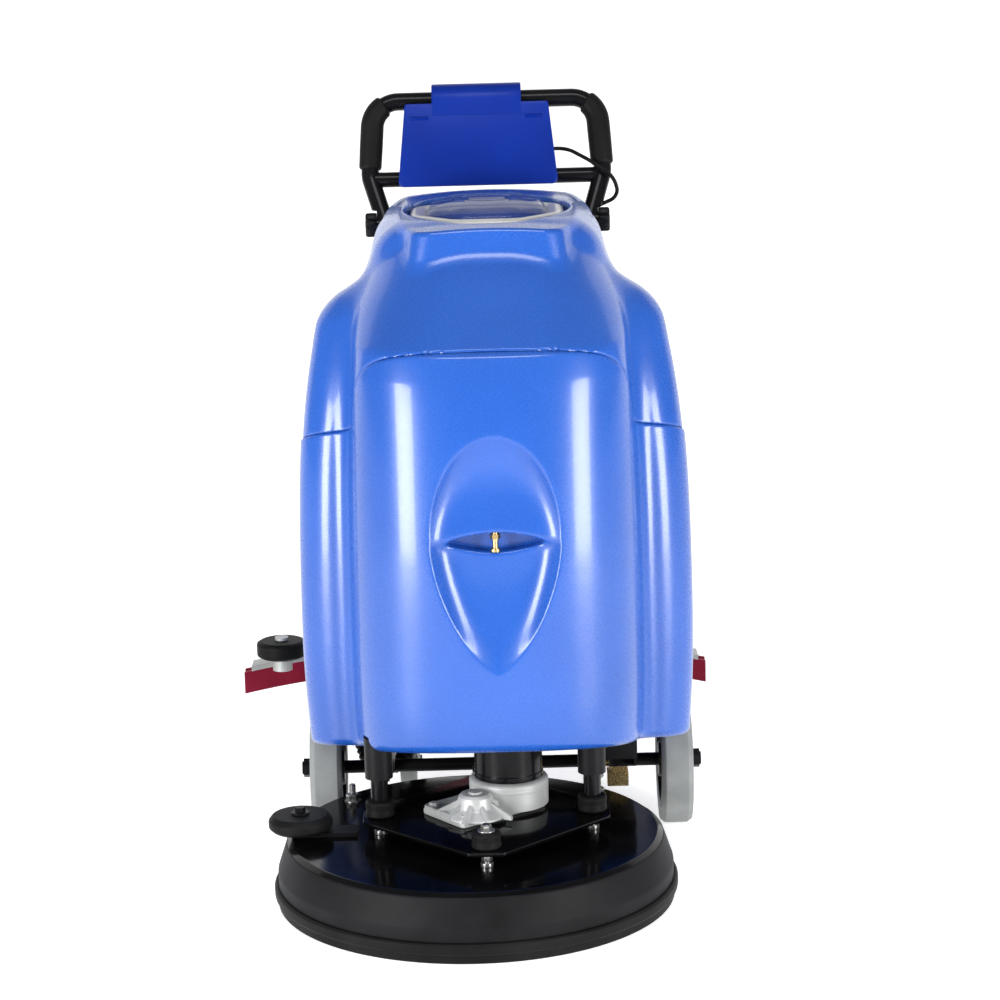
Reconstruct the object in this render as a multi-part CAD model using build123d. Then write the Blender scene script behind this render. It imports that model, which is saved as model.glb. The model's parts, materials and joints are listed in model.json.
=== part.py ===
from build123d import *
import math
import os

# Walk-behind floor scrubber, modelled in millimetres with +Z up and the front towards -Y.
# While modelling, y = 0 is the centre of the brush deck. MID_Y then moves the whole machine so that
# the origin is on the floor below the middle of its box. x = 0 is the middle of the cleaning path:
# the deck and squeegee are centred on it, and the tanks, wheels and handle stand BODY_X to the left.

# ---- overall -----------------------------------------------------------------------------------
BODY_X = 40.0
FRONT_Y = -290.0
REAR_Y = 786.0
MID_Y = (FRONT_Y + REAR_Y) / 2

# ---- drive wheels and axle ---------------------------------------------------------------------
AXLE_Y = 310.0
AXLE_Z = 98.0
AXLE_R = 10.0
WHEEL_R = 98.0
WHEEL_W = 50.0
WHEEL_X = 265.0
TYRE_INNER_R = 74.0
RUNNING = 0.05

# ---- casters -----------------------------------------------------------------------------------
CASTER_X = 150.0
CASTER_Y = 500.0
CASTER_R = 42.0
CASTER_W = 26.0
CASTER_TRAIL = 28.0
CASTER_STEM_R = 9.0

# ---- chassis -----------------------------------------------------------------------------------
RAIL_IN = 160.0
RAIL_OUT = 200.0
RAIL_Z0 = 136.0
RAIL_Z1 = 186.0
CHASSIS_Y0 = 155.0
CHASSIS_Y1 = 560.0
PLATE_Y1 = 432.0
PLATE_T = 6.0
CROSS_W = 40.0
CROSS_REAR_Y = 350.0

# ---- tanks -------------------------------------------------------------------------------------
TANK_Z0 = 195.0
TANK_WALL = 6.0
PART_GAP = 2.0
INLET_X = 130.0
INLET_Z = 720.0
TANK_TOP = 962.0
HOOD_HALF = 205.0
HOOD_FRONT = -112.0
HOOD_CORNER_X = 122.0
HOOD_CORNER_DROP = 13.0
HOOD_SIDE_Y = 12.0
FENDER_HALF = 285.0
FENDER_FRONT = 56.0
FENDER_BEND = 74.0
TANK_REAR = 580.0
TANK_REAR_BEND = 60.0
# Side views of the hood's front and the fenders' front, and front views of their sides, bottom up.
HOOD_NOSE = ((-62.0, 195.0), (-104.0, 300.0), (-112.0, 450.0), (-104.0, 620.0), (-64.0, 795.0), (52.0, 905.0))
BROW = ((70.0, 912.0), (76.0, 962.0))
HOOD_SIDES = ((200.0, 195.0), (205.0, 400.0), (188.0, 620.0), (158.0, 795.0), (128.0, 900.0), (122.0, 962.0))
FENDER_NOSE = ((62.0, 195.0), (56.0, 450.0), (62.0, 620.0), (104.0, 795.0), (140.0, 860.0))
FENDER_SIDES = ((276.0, 195.0), (285.0, 400.0), (276.0, 640.0), (246.0, 795.0), (224.0, 848.0), (176.0, 876.0))
NECK_SIDES = ((182.0, 700.0), (178.0, 880.0), (162.0, 930.0), (132.0, 962.0))
NECK_FRONT = 168.0
# The parting line between the tanks, seen from the side, as (y, z) from front to rear.
PARTING = ((-200.0, 800.0), (-40.0, 790.0), (8.0, 742.0), (42.0, 670.0), (95.0, 650.0), (700.0, 600.0))
SLOPE_Y0 = -120.0
SLOPE_Y1 = 120.0
SLOPE_Z = 244.0

BATTERY_W = 172.0
BATTERY_L = 328.0
BATTERY_H = 238.0
BATTERY_Y0 = 111.0
BATTERY_Z0 = 212.0
BAY_CLEAR = 5.0
MOTOR_BAY_TOP = 345.0

# ---- front recess ------------------------------------------------------------------------------
RECESS_Z = 522.0
RECESS_RX = 92.0
RECESS_RZ = 160.0
RECESS_FLOOR_Y = -96.0
SLOT_Z0 = 524.0
SLOT_Z1 = 551.0
SLOT_HALF = 48.0
SLOT_BACK_Y = -62.0

# ---- lid ---------------------------------------------------------------------------------------
LID_Y = 238.0
LID_RX = 112.0
LID_RY = 116.0
LID_RIM = 24.0
LID_Z0 = 944.0
LID_Z1 = 957.0
DOME_Z = 970.0
WELL_GAP = 9.0
WELL_Z = 938.0
LID_PIN_Y = 366.0
LID_PIN_Z = 956.0
LID_PIN_R = 3.0

# ---- handle ------------------------------------------------------------------------------------
TUBE_R = 14.0
PIVOT_X = 160.0
PIVOT_Y = 600.0
PIVOT_Z = 895.0
KNEE_X = 184.0
KNEE_Y = 634.0
KNEE_Z = 968.0
BAR_X = 176.0
BAR_Y = 668.0
BAR_Z = 1082.0
KNEE_BEND = 45.0
BAR_BEND = 42.0
CROSSBAR_R = 12.0
CROSSBAR_Z = 963.0
GRIP_R = 18.0
GRIP_LOW_Z = 977.0
GRIP_LENGTH = 98.0
PANEL_X = 27.0
PANEL_OFF = 20.0
PANEL_T = 6.0
PANEL_LOW_HALF = 126.0
PANEL_TOP_HALF = 113.0
TAB_HALF = 71.0
KNOB_R = 20.0
KNOB_SCREW_R = 5.0
LEG_PIN_X = 174.0

# ---- deck --------------------------------------------------------------------------------------
DECK_R = 284.0
DECK_TOP_R = 267.0
DECK_Z = 95.0
DECK_T = 6.0
BEAD_R = 290.0
BEAD_Z0 = 13.0
BEAD_Z1 = 30.0
SKIRT_Z0 = 1.0
BRUSH_R = 254.0
BRISTLE_TOP = 48.0
BRUSH_TOP = 62.0
HUB_R = 30.0
HUB_TOP = 121.0
CARRIER_X = 17.0
CARRIER_Y = -5.0
CARRIER_HALF = 152.0
CARRIER_Z0 = 116.0
CARRIER_Z1 = 122.0
BUFFER_R = 21.0
BUFFER_H = 24.0
COLUMN_R = 12.5
COLUMN_TOP = 292.0
MOTOR_X = 50.0
MOTOR_Y = 25.0
MOTOR_R = 50.0
GEAR_R = 57.0
GEAR_TOP = 170.0
MOTOR_TOP = 300.0
BUMPER_X = -250.0
BUMPER_Y = 2.0
BUMPER_R = 46.0
BUMPER_Z0 = 102.0
BUMPER_Z1 = 126.0

# ---- squeegee ----------------------------------------------------------------------------------
SQ_R = 600.0
SQ_FLANGE = 16.0
SQ_CENTRE_Y = REAR_Y - SQ_R - SQ_FLANGE
SQ_HALF = 377.0
SQ_Z0 = 127.0
BLADE_H = 38.0
SQ_BODY_Z0 = 160.0
SQ_BODY_Z1 = 180.0
ARM_Y = 402.0
ARM_Z = 160.0
ARM_LENGTH = 300.0
ARM_RISE = 11.9
ARM_PIN_R = 6.0
ROLLER_X = 314.0
ROLLER_Y = 626.0
ROLLER_R = 41.0
ROLLER_Z0 = 190.0
ROLLER_Z1 = 218.0
ROLLER_PIN_R = 6.0
SWING_Y = SQ_CENTRE_Y + SQ_R - 2.0
SWING_PIN_R = 6.0
PORT_X = 70.0
PORT_R = 22.0
KNOB_AT = 190.0


# ---- plain shapes ------------------------------------------------------------------------------
def block(x0, x1, y0, y1, z0, z1):
    return Pos((x0 + x1) / 2, (y0 + y1) / 2, (z0 + z1) / 2) * Box(x1 - x0, y1 - y0, z1 - z0)


def rod_x(radius, x0, x1, y, z):
    return Pos((x0 + x1) / 2, y, z) * Rot(0, 90, 0) * Cylinder(radius, x1 - x0)


def rod_y(radius, x, y0, y1, z):
    return Pos(x, (y0 + y1) / 2, z) * Rot(90, 0, 0) * Cylinder(radius, y1 - y0)


def rod_z(radius, x, y, z0, z1):
    return Pos(x, y, (z0 + z1) / 2) * Cylinder(radius, z1 - z0)


def tube_x(outer, inner, x0, x1, y, z):
    return rod_x(outer, x0, x1, y, z) - rod_x(inner, x0 - 1, x1 + 1, y, z)


def tube_z(outer, inner, x, y, z0, z1):
    return rod_z(outer, x, y, z0, z1) - rod_z(inner, x, y, z0 - 1, z1 + 1)


def hexagon_z(across, x, y, z0, z1):
    face = RegularPolygon(across / 2, 6, major_radius=False)
    return Pos(x, y, z0) * extrude(face, z1 - z0)


def hexagon_x(across, x0, x1, y, z):
    face = RegularPolygon(across / 2, 6, major_radius=False)
    return Pos(x0, y, z) * Rot(0, 90, 0) * extrude(face, x1 - x0)


def prism_x(outline, x0, x1):
    """A solid whose side outline is a list of (y, z) points."""
    face = make_face(Polyline(*[(x0, y, z) for y, z in outline], close=True))
    return extrude(face, x1 - x0, dir=(1, 0, 0))


def plate_z(outline, z0, z1):
    """A flat plate whose plan outline is a list of (x, y) points."""
    face = make_face(Polyline(*[(x, y, z0) for x, y in outline], close=True))
    return extrude(face, z1 - z0, dir=(0, 0, 1))


def turned(profile, x, y):
    """A solid turned about a vertical axis from (radius, z) points."""
    face = make_face(Polyline(*[(r, 0, z) for r, z in profile], close=True))
    return Pos(x, y, 0) * revolve(face, Axis.Z)


def turned_x(profile, x, y, z):
    """A solid turned about an axis along X from (radius, distance along X) points."""
    face = make_face(Polyline(*[(a, r, 0) for r, a in profile], close=True))
    return Pos(x, y, z) * revolve(face, Axis.X)


def pipe(path, radius):
    section = Plane(origin=path @ 0, z_dir=path % 0) * Circle(radius)
    return sweep(section, path=path)


def joined(first, *others):
    for other in others:
        first = first + other
    return first


def largest(shape):
    return max(shape.solids(), key=lambda solid: solid.volume)


def group(pieces):
    return Compound([solid for piece in pieces for solid in piece.solids()])


# ---- tanks -------------------------------------------------------------------------------------
def prism_y(outline, y0, y1):
    """A solid whose front outline is a list of (x, z) points about the body's middle."""
    face = make_face(Polyline(*[(BODY_X + x, y0, z) for x, z in outline], close=True))
    return extrude(face, y1 - y0, dir=(0, 1, 0))


def mirrored_sides(sides, inset):
    """A closed front view from the right-hand side's points, moved in by a wall thickness."""
    right = [(x - inset, z) for x, z in sides]
    right[0] = (right[0][0], right[0][1] + inset)
    right[-1] = (right[-1][0], right[-1][1] - inset)
    return right + [(-x, z) for x, z in reversed(right)]


def nosed(nose, inset, top):
    """A closed side view behind a nose line, moved back by a wall thickness."""
    line = [(y + inset, z) for y, z in nose if z < top]
    line[0] = (line[0][0], line[0][1] + inset)
    return [*line, (nose[-1][0] + inset, top), (700, top), (700, line[0][1])]


def hood_plan(inset):
    half = HOOD_HALF - inset
    front = HOOD_FRONT + inset
    corner = HOOD_CORNER_X - inset / 2
    corner_y = front + HOOD_CORNER_DROP
    mid = (0.5 * (half + corner) + 0.18 * (half - corner), 0.5 * (corner_y + HOOD_SIDE_Y) - 18)
    edges = [
        ThreePointArc((-corner, corner_y), (0, front), (corner, corner_y)),
        ThreePointArc((corner, corner_y), mid, (half, HOOD_SIDE_Y)),
        Polyline((half, HOOD_SIDE_Y), (half, 330), (-half, 330), (-half, HOOD_SIDE_Y)),
        ThreePointArc((-half, HOOD_SIDE_Y), (-mid[0], mid[1]), (-corner, corner_y)),
    ]
    face = make_face(Curve() + edges)
    return Pos(BODY_X, 0, 150) * extrude(face, 850)


def boxed_plan(half, front, rear, bend, rear_bend):
    plan = Rectangle(2 * half, rear - front)
    plan = fillet(plan.vertices().group_by(Axis.Y)[0], bend)
    plan = fillet(plan.vertices().group_by(Axis.Y)[-1], rear_bend)
    return Pos(BODY_X, (front + rear) / 2, 150) * extrude(plan, 850)


def body_form(inset):
    """The outer form of both tanks together: the hood, the fenders behind it and the neck on top."""
    top = TANK_TOP - inset
    rear = TANK_REAR - inset
    nose = nosed([*HOOD_NOSE, *BROW], inset, top)
    hood = hood_plan(inset) & prism_x(nose, -300, 400) & prism_y(mirrored_sides(HOOD_SIDES, inset), -200, 600)
    fenders = boxed_plan(FENDER_HALF - inset, FENDER_FRONT + inset, rear, FENDER_BEND, TANK_REAR_BEND)
    fenders = fenders & prism_x(nosed(FENDER_NOSE, inset, top), -300, 400)
    fenders = fenders & prism_y(mirrored_sides(FENDER_SIDES, inset), -200, 700)
    neck = boxed_plan(NECK_SIDES[0][0] - inset, NECK_FRONT + inset, rear, FENDER_BEND, TANK_REAR_BEND)
    neck = neck & prism_y(mirrored_sides(NECK_SIDES, inset), -200, 700)
    return hood + fenders + neck


def above_parting(lift):
    """Everything over the parting line, raised by a given amount."""
    ceiling = 1100.0
    side = [(y, z + lift) for y, z in PARTING]
    return prism_x([*side, (PARTING[-1][0], ceiling), (PARTING[0][0], ceiling)], -400, 500)


def below_parting(drop):
    floor = 100.0
    side = [(y, z - drop) for y, z in PARTING]
    return prism_x([*side, (PARTING[-1][0], floor), (PARTING[0][0], floor)], -400, 500)


def motor_bay(grow):
    """The hollow under the hood that the brush motor and the guide columns rise into."""
    top = MOTOR_BAY_TOP + grow
    motor = block(-62 - grow, 132 + grow, -72 - grow, 88 + grow, 100, top)
    columns = block(-157 - grow, 197 + grow, -32 - grow, 40 + grow, 100, top - 12)
    return motor + columns


def battery_bay(grow):
    half = BATTERY_W + 2 * BAY_CLEAR + grow
    y0 = BATTERY_Y0 - BAY_CLEAR - grow
    y1 = BATTERY_Y0 + BATTERY_L + BAY_CLEAR + grow
    return block(BODY_X - half, BODY_X + half, y0, y1, BATTERY_Z0 - grow, 800)


def wheel_wells(grow):
    radius = WHEEL_R + 14 + grow
    inner = WHEEL_X - WHEEL_W / 2 - 9 - grow
    left = rod_x(radius, BODY_X - 320, BODY_X - inner, AXLE_Y, AXLE_Z)
    right = rod_x(radius, BODY_X + inner, BODY_X + 320, AXLE_Y, AXLE_Z)
    return left + right


def arm_tunnel(grow):
    """The notch at the rear that the squeegee arm rises into."""
    return block(-62 - grow, 62 + grow, 456 - grow, 640, 100, 260 + grow)


def roller_reliefs(grow):
    """The cut-back lower rear corners that the squeegee's rollers swing past."""
    cuts = []
    for side in (-1, 1):
        x0, x1 = sorted((BODY_X + side * (212 - grow), BODY_X + side * 330))
        cuts.append(block(x0, x1, 524 - grow, 640, 100, 250 + grow))
    return cuts[0] + cuts[1]


def front_undercut():
    """The underside rises towards the front of the hood."""
    return prism_x([(SLOPE_Y0, 100), (SLOPE_Y1, 100), (SLOPE_Y1, TANK_Z0), (SLOPE_Y0, SLOPE_Z)], -400, 500)


def recess_cut():
    egg = extrude(Ellipse(RECESS_RX, RECESS_RZ), 60)
    hollow = Pos(BODY_X, RECESS_FLOOR_Y, RECESS_Z) * Rot(90, 0, 0) * egg
    height = SLOT_Z1 - SLOT_Z0
    slot_face = extrude(SlotOverall(2 * SLOT_HALF, height), 60)
    slot = Pos(BODY_X, SLOT_BACK_Y, (SLOT_Z0 + SLOT_Z1) / 2) * Rot(90, 0, 0) * slot_face
    return hollow + slot


def fill_neck():
    return rod_y(32, -110, 570, 590, 480)


def solution_tank():
    shell = body_form(0) & below_parting(0)
    for hollow in (motor_bay, battery_bay, wheel_wells, arm_tunnel, roller_reliefs):
        shell = shell - hollow(0)
    shell = shell - front_undercut() - recess_cut()
    water = body_form(TANK_WALL) & below_parting(TANK_WALL)
    guard = prism_x(
        [(SLOPE_Y0, 100), (SLOPE_Y1, 100), (SLOPE_Y1, TANK_Z0 + TANK_WALL), (SLOPE_Y0, SLOPE_Z + TANK_WALL)],
        -400,
        500,
    )
    recess_guard = block(BODY_X - 104, BODY_X + 104, -200, SLOT_BACK_Y + TANK_WALL, 350, 694)
    for hollow in (motor_bay, battery_bay, wheel_wells, arm_tunnel, roller_reliefs):
        water = water - hollow(TANK_WALL)
    water = water - guard - recess_guard
    shell = shell + fill_neck() - rod_y(26, -110, 540, 600, 480)
    return shell - water


def lid_oval(grow, z0, z1):
    return Pos(BODY_X, LID_Y, z0) * extrude(Ellipse(LID_RX + grow, LID_RY + grow), z1 - z0)


def recovery_tank():
    shell = body_form(0) & above_parting(PART_GAP)
    shell = shell - lid_oval(WELL_GAP, WELL_Z, 1000)
    shell = shell - block(BODY_X - 50, BODY_X + 50, LID_Y, LID_PIN_Y + 8, WELL_Z, 1000)
    water = body_form(TANK_WALL) & above_parting(PART_GAP + TANK_WALL)
    water = water & block(-400, 500, -200, 400, 500, WELL_Z - TANK_WALL)
    dry = body_form(TANK_WALL) & above_parting(PART_GAP + TANK_WALL) & block(-400, 500, 410, 700, 500, 930)
    mouth = lid_oval(-LID_RIM, WELL_Z - 20, 1000)
    lugs = []
    for side in (-1, 1):
        x = BODY_X + side * 41
        lugs.append(block(x - 8, x + 8, LID_PIN_Y - 6, LID_PIN_Y + 10, WELL_Z - 4, LID_PIN_Z + 5))
    shell = shell + lugs[0] + lugs[1]
    shell = shell - rod_x(LID_PIN_R, BODY_X - 60, BODY_X + 60, LID_PIN_Y, LID_PIN_Z)
    inlet = rod_y(PORT_R, INLET_X, TANK_REAR - 10, TANK_REAR + 26, INLET_Z)
    shell = shell + inlet - rod_y(PORT_R - 4, INLET_X, TANK_REAR - 40, TANK_REAR + 30, INLET_Z)
    return shell - water - dry - mouth


def batteries():
    """Two traction batteries side by side in their bay."""
    cases = []
    for x0 in (BODY_X + BAY_CLEAR, BODY_X - BAY_CLEAR - BATTERY_W):
        top = BATTERY_Z0 + BATTERY_H
        case = block(x0, x0 + BATTERY_W, BATTERY_Y0, BATTERY_Y0 + BATTERY_L, BATTERY_Z0, top - 18)
        posts = [
            rod_z(9, x0 + BATTERY_W / 2, y, top - 19, top) for y in (BATTERY_Y0 + 30, BATTERY_Y0 + BATTERY_L - 30)
        ]
        cases.append(joined(case, *posts))
    return group(cases)


def slot_bolt():
    y = -78.0
    shank = rod_z(4, BODY_X, y, SLOT_Z0, SLOT_Z1)
    collar = rod_z(7, BODY_X, y, SLOT_Z0, SLOT_Z0 + 4)
    head = hexagon_z(13, BODY_X, y, SLOT_Z1 - 9, SLOT_Z1 - 2)
    return joined(shank, collar, head)


def vacuum_motor():
    x, y = BODY_X, 488.0
    body = rod_z(62, x, y, 700, 800)
    cap = rod_z(45, x, y, 800, 850)
    return body + cap


def lid_rim():
    ring = lid_oval(0, LID_Z0, LID_Z1) - lid_oval(-LID_RIM, LID_Z0 - 1, LID_Z1 + 1)
    strap = block(BODY_X - 28, BODY_X + 28, LID_Y + LID_RY - 8, LID_PIN_Y, LID_PIN_Z - 4, LID_PIN_Z + 1)
    barrel = rod_x(6.5, BODY_X - 28, BODY_X + 28, LID_PIN_Y, LID_PIN_Z)
    bore = rod_x(LID_PIN_R + RUNNING, BODY_X - 40, BODY_X + 40, LID_PIN_Y, LID_PIN_Z)
    return ring + strap + barrel - bore


def lid_dome():
    """A shallow clear dome that fills the rim."""
    rx = LID_RX - LID_RIM
    ry = LID_RY - LID_RIM
    edge = Wire([Pos(BODY_X, LID_Y, LID_Z0 + 2) * Ellipse(rx, ry).edge()])
    brow = Wire([Pos(BODY_X, LID_Y, LID_Z1 + 4) * Ellipse(rx, ry).edge()])
    crown = Wire([Pos(BODY_X, LID_Y, DOME_Z) * Ellipse(rx - 26, ry - 26).edge()])
    base = Solid.make_loft([edge, brow], ruled=True)
    return base + Solid.make_loft([brow, crown], ruled=True)


HINGE_Y = 592.0
HINGE_Z = 606.0
HINGE_R = 9.0
HINGE_PIN_R = 4.0
HINGE_X = 150.0


def handle_ears():
    """Two steel ears on the recovery tank that carry the handle."""
    ears = []
    for side in (-1, 1):
        x0, x1 = sorted((BODY_X + side * 134, BODY_X + side * 145))
        side_view = [(540, 850), (PIVOT_Y + 16, 872), (PIVOT_Y + 18, 906), (PIVOT_Y - 6, 918), (556, 905)]
        ear = prism_x(side_view, x0, x1) - body_form(0)
        ear = ear - rod_x(KNOB_SCREW_R + RUNNING, x0 - 5, x1 + 5, PIVOT_Y, PIVOT_Z)
        ears.append(largest(ear))
    return ears


def tank_hinge():
    """The outer knuckles and pins of the tank hinge, which belong to the solution tank."""
    knuckles = []
    for x in (BODY_X - HINGE_X, BODY_X + HINGE_X):
        barrel = rod_x(HINGE_R, x - 20, x + 20, HINGE_Y, HINGE_Z)
        leaf = block(x - 20, x + 20, HINGE_Y - 11, HINGE_Y - 5, HINGE_Z - 62, HINGE_Z)
        pin = rod_x(HINGE_PIN_R, x - 48, x + 48, HINGE_Y, HINGE_Z)
        knuckles.append(largest(joined(barrel, leaf, pin) - body_form(0)))
    return knuckles


def tank_hinge_leaves():
    """The knuckles of the tank hinge that ride on the recovery tank."""
    leaves = []
    for middle in (BODY_X - HINGE_X, BODY_X + HINGE_X):
        for side in (-1, 1):
            x = middle + side * 34.5
            barrel = rod_x(HINGE_R, x - 13, x + 13, HINGE_Y, HINGE_Z)
            leaf = block(x - 13, x + 13, HINGE_Y - 11, HINGE_Y - 5, HINGE_Z, HINGE_Z + 52)
            bore = rod_x(HINGE_PIN_R + RUNNING, x - 20, x + 20, HINGE_Y, HINGE_Z)
            leaves.append(largest(barrel + leaf - body_form(0) - bore))
    return leaves


def tank_fittings():
    """The metal parts on the recovery tank: handle ears, hinge leaves and the lid's pin."""
    lid_pin = rod_x(LID_PIN_R, BODY_X - 49, BODY_X + 49, LID_PIN_Y, LID_PIN_Z)
    return group([*handle_ears(), *tank_hinge_leaves(), lid_pin])


# ---- chassis and running gear ------------------------------------------------------------------
def chassis_rails():
    """Two hollow side rails."""
    wall = 3.0
    rails = []
    for side in (-1, 1):
        x0, x1 = sorted((BODY_X + side * RAIL_IN, BODY_X + side * RAIL_OUT))
        outer = block(x0, x1, CHASSIS_Y0, CHASSIS_Y1, RAIL_Z0, RAIL_Z1)
        inner = block(x0 + wall, x1 - wall, CHASSIS_Y0 - 1, CHASSIS_Y1 + 1, RAIL_Z0 + wall, RAIL_Z1 - wall)
        rails.append(outer - inner)
    return group(rails)


def chassis_plate():
    sheet = block(BODY_X - RAIL_OUT, BODY_X + RAIL_OUT, CHASSIS_Y0, PLATE_Y1, RAIL_Z1, RAIL_Z1 + PLATE_T)
    sheet = sheet - block(-24, 24, 398, PLATE_Y1 + 1, RAIL_Z1 - 1, RAIL_Z1 + PLATE_T + 1)
    return sheet - rod_z(DRAIN_R + 2, DRAIN_ROUTE[0][0], DRAIN_ROUTE[0][1], RAIL_Z1 - 1, TANK_Z0)


def chassis_cross():
    """The rear cross member, with the two ears and the pin that hold the squeegee arm."""
    y1 = CROSS_REAR_Y + CROSS_W
    beam = block(BODY_X - RAIL_IN, BODY_X + RAIL_IN, CROSS_REAR_Y, y1, RAIL_Z0, RAIL_Z1)
    ears = []
    for side in (-1, 1):
        x0, x1 = sorted((side * 14.5, side * 22.5))
        ears.append(block(x0, x1, y1, ARM_Y + 12, ARM_Z - 14, ARM_Z + 14))
    return joined(beam, *ears, rod_x(ARM_PIN_R, -24, 24, ARM_Y, ARM_Z))


def axle():
    """The fixed axle with a washer and nut at each end."""
    end = WHEEL_X + WHEEL_W / 2 + 16
    pieces = [rod_x(AXLE_R, BODY_X - end, BODY_X + end, AXLE_Y, AXLE_Z)]
    for side in (-1, 1):
        inner = WHEEL_X + WHEEL_W / 2 + 0.6
        a, b = sorted((BODY_X + side * inner, BODY_X + side * (inner + 3)))
        c, d = sorted((BODY_X + side * (inner + 3), BODY_X + side * (inner + 13)))
        pieces.append(rod_x(17, a, b, AXLE_Y, AXLE_Z))
        pieces.append(hexagon_x(26, c, d, AXLE_Y, AXLE_Z))
    return joined(*pieces)


def axle_brackets():
    plates = []
    for side in (-1, 1):
        x0, x1 = sorted((BODY_X + side * 172, BODY_X + side * 182))
        side_view = [(AXLE_Y - 50, RAIL_Z0), (AXLE_Y - 24, 80), (AXLE_Y + 24, 80), (AXLE_Y + 60, RAIL_Z0)]
        plates.append(prism_x(side_view, x0, x1) - rod_x(AXLE_R, x0 - 2, x1 + 2, AXLE_Y, AXLE_Z))
    return plates


def drive_tyre(side):
    half = WHEEL_W / 2
    profile = [
        (TYRE_INNER_R, -half + 1),
        (WHEEL_R - 5, -half),
        (WHEEL_R - 0.8, -half + 7),
        (WHEEL_R, 0),
        (WHEEL_R - 0.8, half - 7),
        (WHEEL_R - 5, half),
        (TYRE_INNER_R, half - 1),
    ]
    return turned_x(profile, BODY_X + side * WHEEL_X, AXLE_Y, AXLE_Z)


def drive_rim(side):
    half = WHEEL_W / 2
    bore = AXLE_R + RUNNING
    profile = [
        (bore, -half + 0.5),
        (26, -half + 0.5),
        (30, -half + 12),
        (60, -half + 12),
        (66, -half + 2),
        (TYRE_INNER_R, -half + 2),
        (TYRE_INNER_R, half - 2),
        (66, half - 2),
        (60, half - 12),
        (30, half - 12),
        (26, half - 0.5),
        (bore, half - 0.5),
    ]
    return turned_x(profile, BODY_X + side * WHEEL_X, AXLE_Y, AXLE_Z)


def caster_plates():
    """The flat plates below the rails that the casters turn on."""
    plates = []
    for side in (-1, 1):
        x = BODY_X + side * CASTER_X
        x0, x1 = sorted((BODY_X + side * 110, BODY_X + side * RAIL_OUT))
        plate = block(x0, x1, CASTER_Y - 45, CASTER_Y + 45, RAIL_Z0 - 6, RAIL_Z0)
        plates.append(plate + rod_z(CASTER_STEM_R, x, CASTER_Y, RAIL_Z0 - 24, RAIL_Z0 - 6))
    return plates


def drain_plug():
    """The plug that closes the drain hose, on a clip on the outside of the rail."""
    x, y, z = DRAIN_ROUTE[-1]
    z += 0.3
    plug = rod_z(DRAIN_R + 1, x, y, z, z + 12)
    clip = block(x + DRAIN_R - 2, BODY_X - RAIL_OUT, y - 8, y + 8, z, z + 6)
    return plug + clip


def chassis_brackets():
    return group([*axle_brackets(), *caster_plates(), drain_plug()])


def caster_fork(side):
    x = BODY_X + side * CASTER_X
    wheel_y = CASTER_Y + CASTER_TRAIL
    top = RAIL_Z0 - 7
    crown = rod_z(30, x, CASTER_Y, top - 17, top) - rod_z(CASTER_STEM_R + RUNNING, x, CASTER_Y, top - 30, top + 1)
    legs = []
    for hand in (-1, 1):
        x0, x1 = sorted((x + hand * (CASTER_W / 2 + 2), x + hand * (CASTER_W / 2 + 6)))
        side_view = [
            (CASTER_Y - 20, top - 17),
            (CASTER_Y + 22, top - 17),
            (wheel_y + 12, CASTER_R - 4),
            (wheel_y, CASTER_R - 13),
            (wheel_y - 12, CASTER_R - 4),
        ]
        legs.append(prism_x(side_view, x0, x1))
    pin = rod_x(5, x - CASTER_W / 2 - 9, x + CASTER_W / 2 + 9, wheel_y, CASTER_R)
    return joined(crown, *legs, pin)


def caster_wheel(side):
    x = BODY_X + side * CASTER_X
    half = CASTER_W / 2
    profile = [
        (5 + RUNNING, -half),
        (CASTER_R - 4, -half),
        (CASTER_R, -half + 5),
        (CASTER_R, half - 5),
        (CASTER_R - 4, half),
        (5 + RUNNING, half),
    ]
    return turned_x(profile, x, CASTER_Y + CASTER_TRAIL, CASTER_R)


def deck_hangers():
    """Chassis arms with the sleeves that guide the deck's two columns."""
    arms = []
    for side in (-1, 1):
        x = CARRIER_X + side * CARRIER_HALF
        arm = block(x - 15, x + 15, CARRIER_Y - 10, CHASSIS_Y0 + 6, 180, 186)
        sleeve = rod_z(20, x, CARRIER_Y, 180, 240)
        post = arm + sleeve - rod_z(COLUMN_R + RUNNING, x, CARRIER_Y, 170, 250)
        x0, x1 = sorted((x - side * 15, BODY_X + side * RAIL_OUT))
        foot = block(x0, x1, CHASSIS_Y0 - 34, CHASSIS_Y0, 158, 186)
        arms.append(post - block(-400, 500, CHASSIS_Y0, 300, 100, 300) + foot)
    return group(arms)


def solution_valve():
    """The water valve below the left rail: brass body, inlet, outlet, bonnet and coil."""
    x, y = 216.0, 236.0
    brass = block(x - 14, x + 14, y - 12, y + 12, 104, 130)
    inlet = rod_x(7, x - 32, x - 14, y, 118)
    outlet = rod_x(7, x + 14, x + 26, y, 118)
    bonnet = rod_y(13, x, y - 26, y - 12, 117)
    hanger = rod_z(5, x, y, 130, RAIL_Z0)
    coil = block(x - 17, x + 15, y - 14, y + 18, 84, 104)
    return joined(brass, inlet, outlet, bonnet, hanger, coil)


# ---- drain hose --------------------------------------------------------------------------------
DRAIN_R = 14.0
DRAIN_ROUTE = (
    (-90, 410, 195),
    (-90, 410, 154),
    (-96, 402, 114),
    (-114, 392, 82),
    (-142, 392, 66),
    (-168, 404, 78),
    (-180, 430, 108),
    (-181, 438, 146),
    (-181, 438.5, 178),
)


def route(points, share=0.45):
    """Straight runs joined by tangent arcs, each as large as its two runs allow."""
    radii = []
    for a, b, c in zip(points, points[1:], points[2:]):
        run_in = Vector(*b) - Vector(*a)
        run_out = Vector(*c) - Vector(*b)
        turn = math.radians(run_in.get_angle(run_out))
        radii.append(share * min(run_in.length, run_out.length) / math.tan(turn / 2))
    print("arc radii", [round(r, 1) for r in radii])
    return FilletPolyline(*points, radius=radii)


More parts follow.
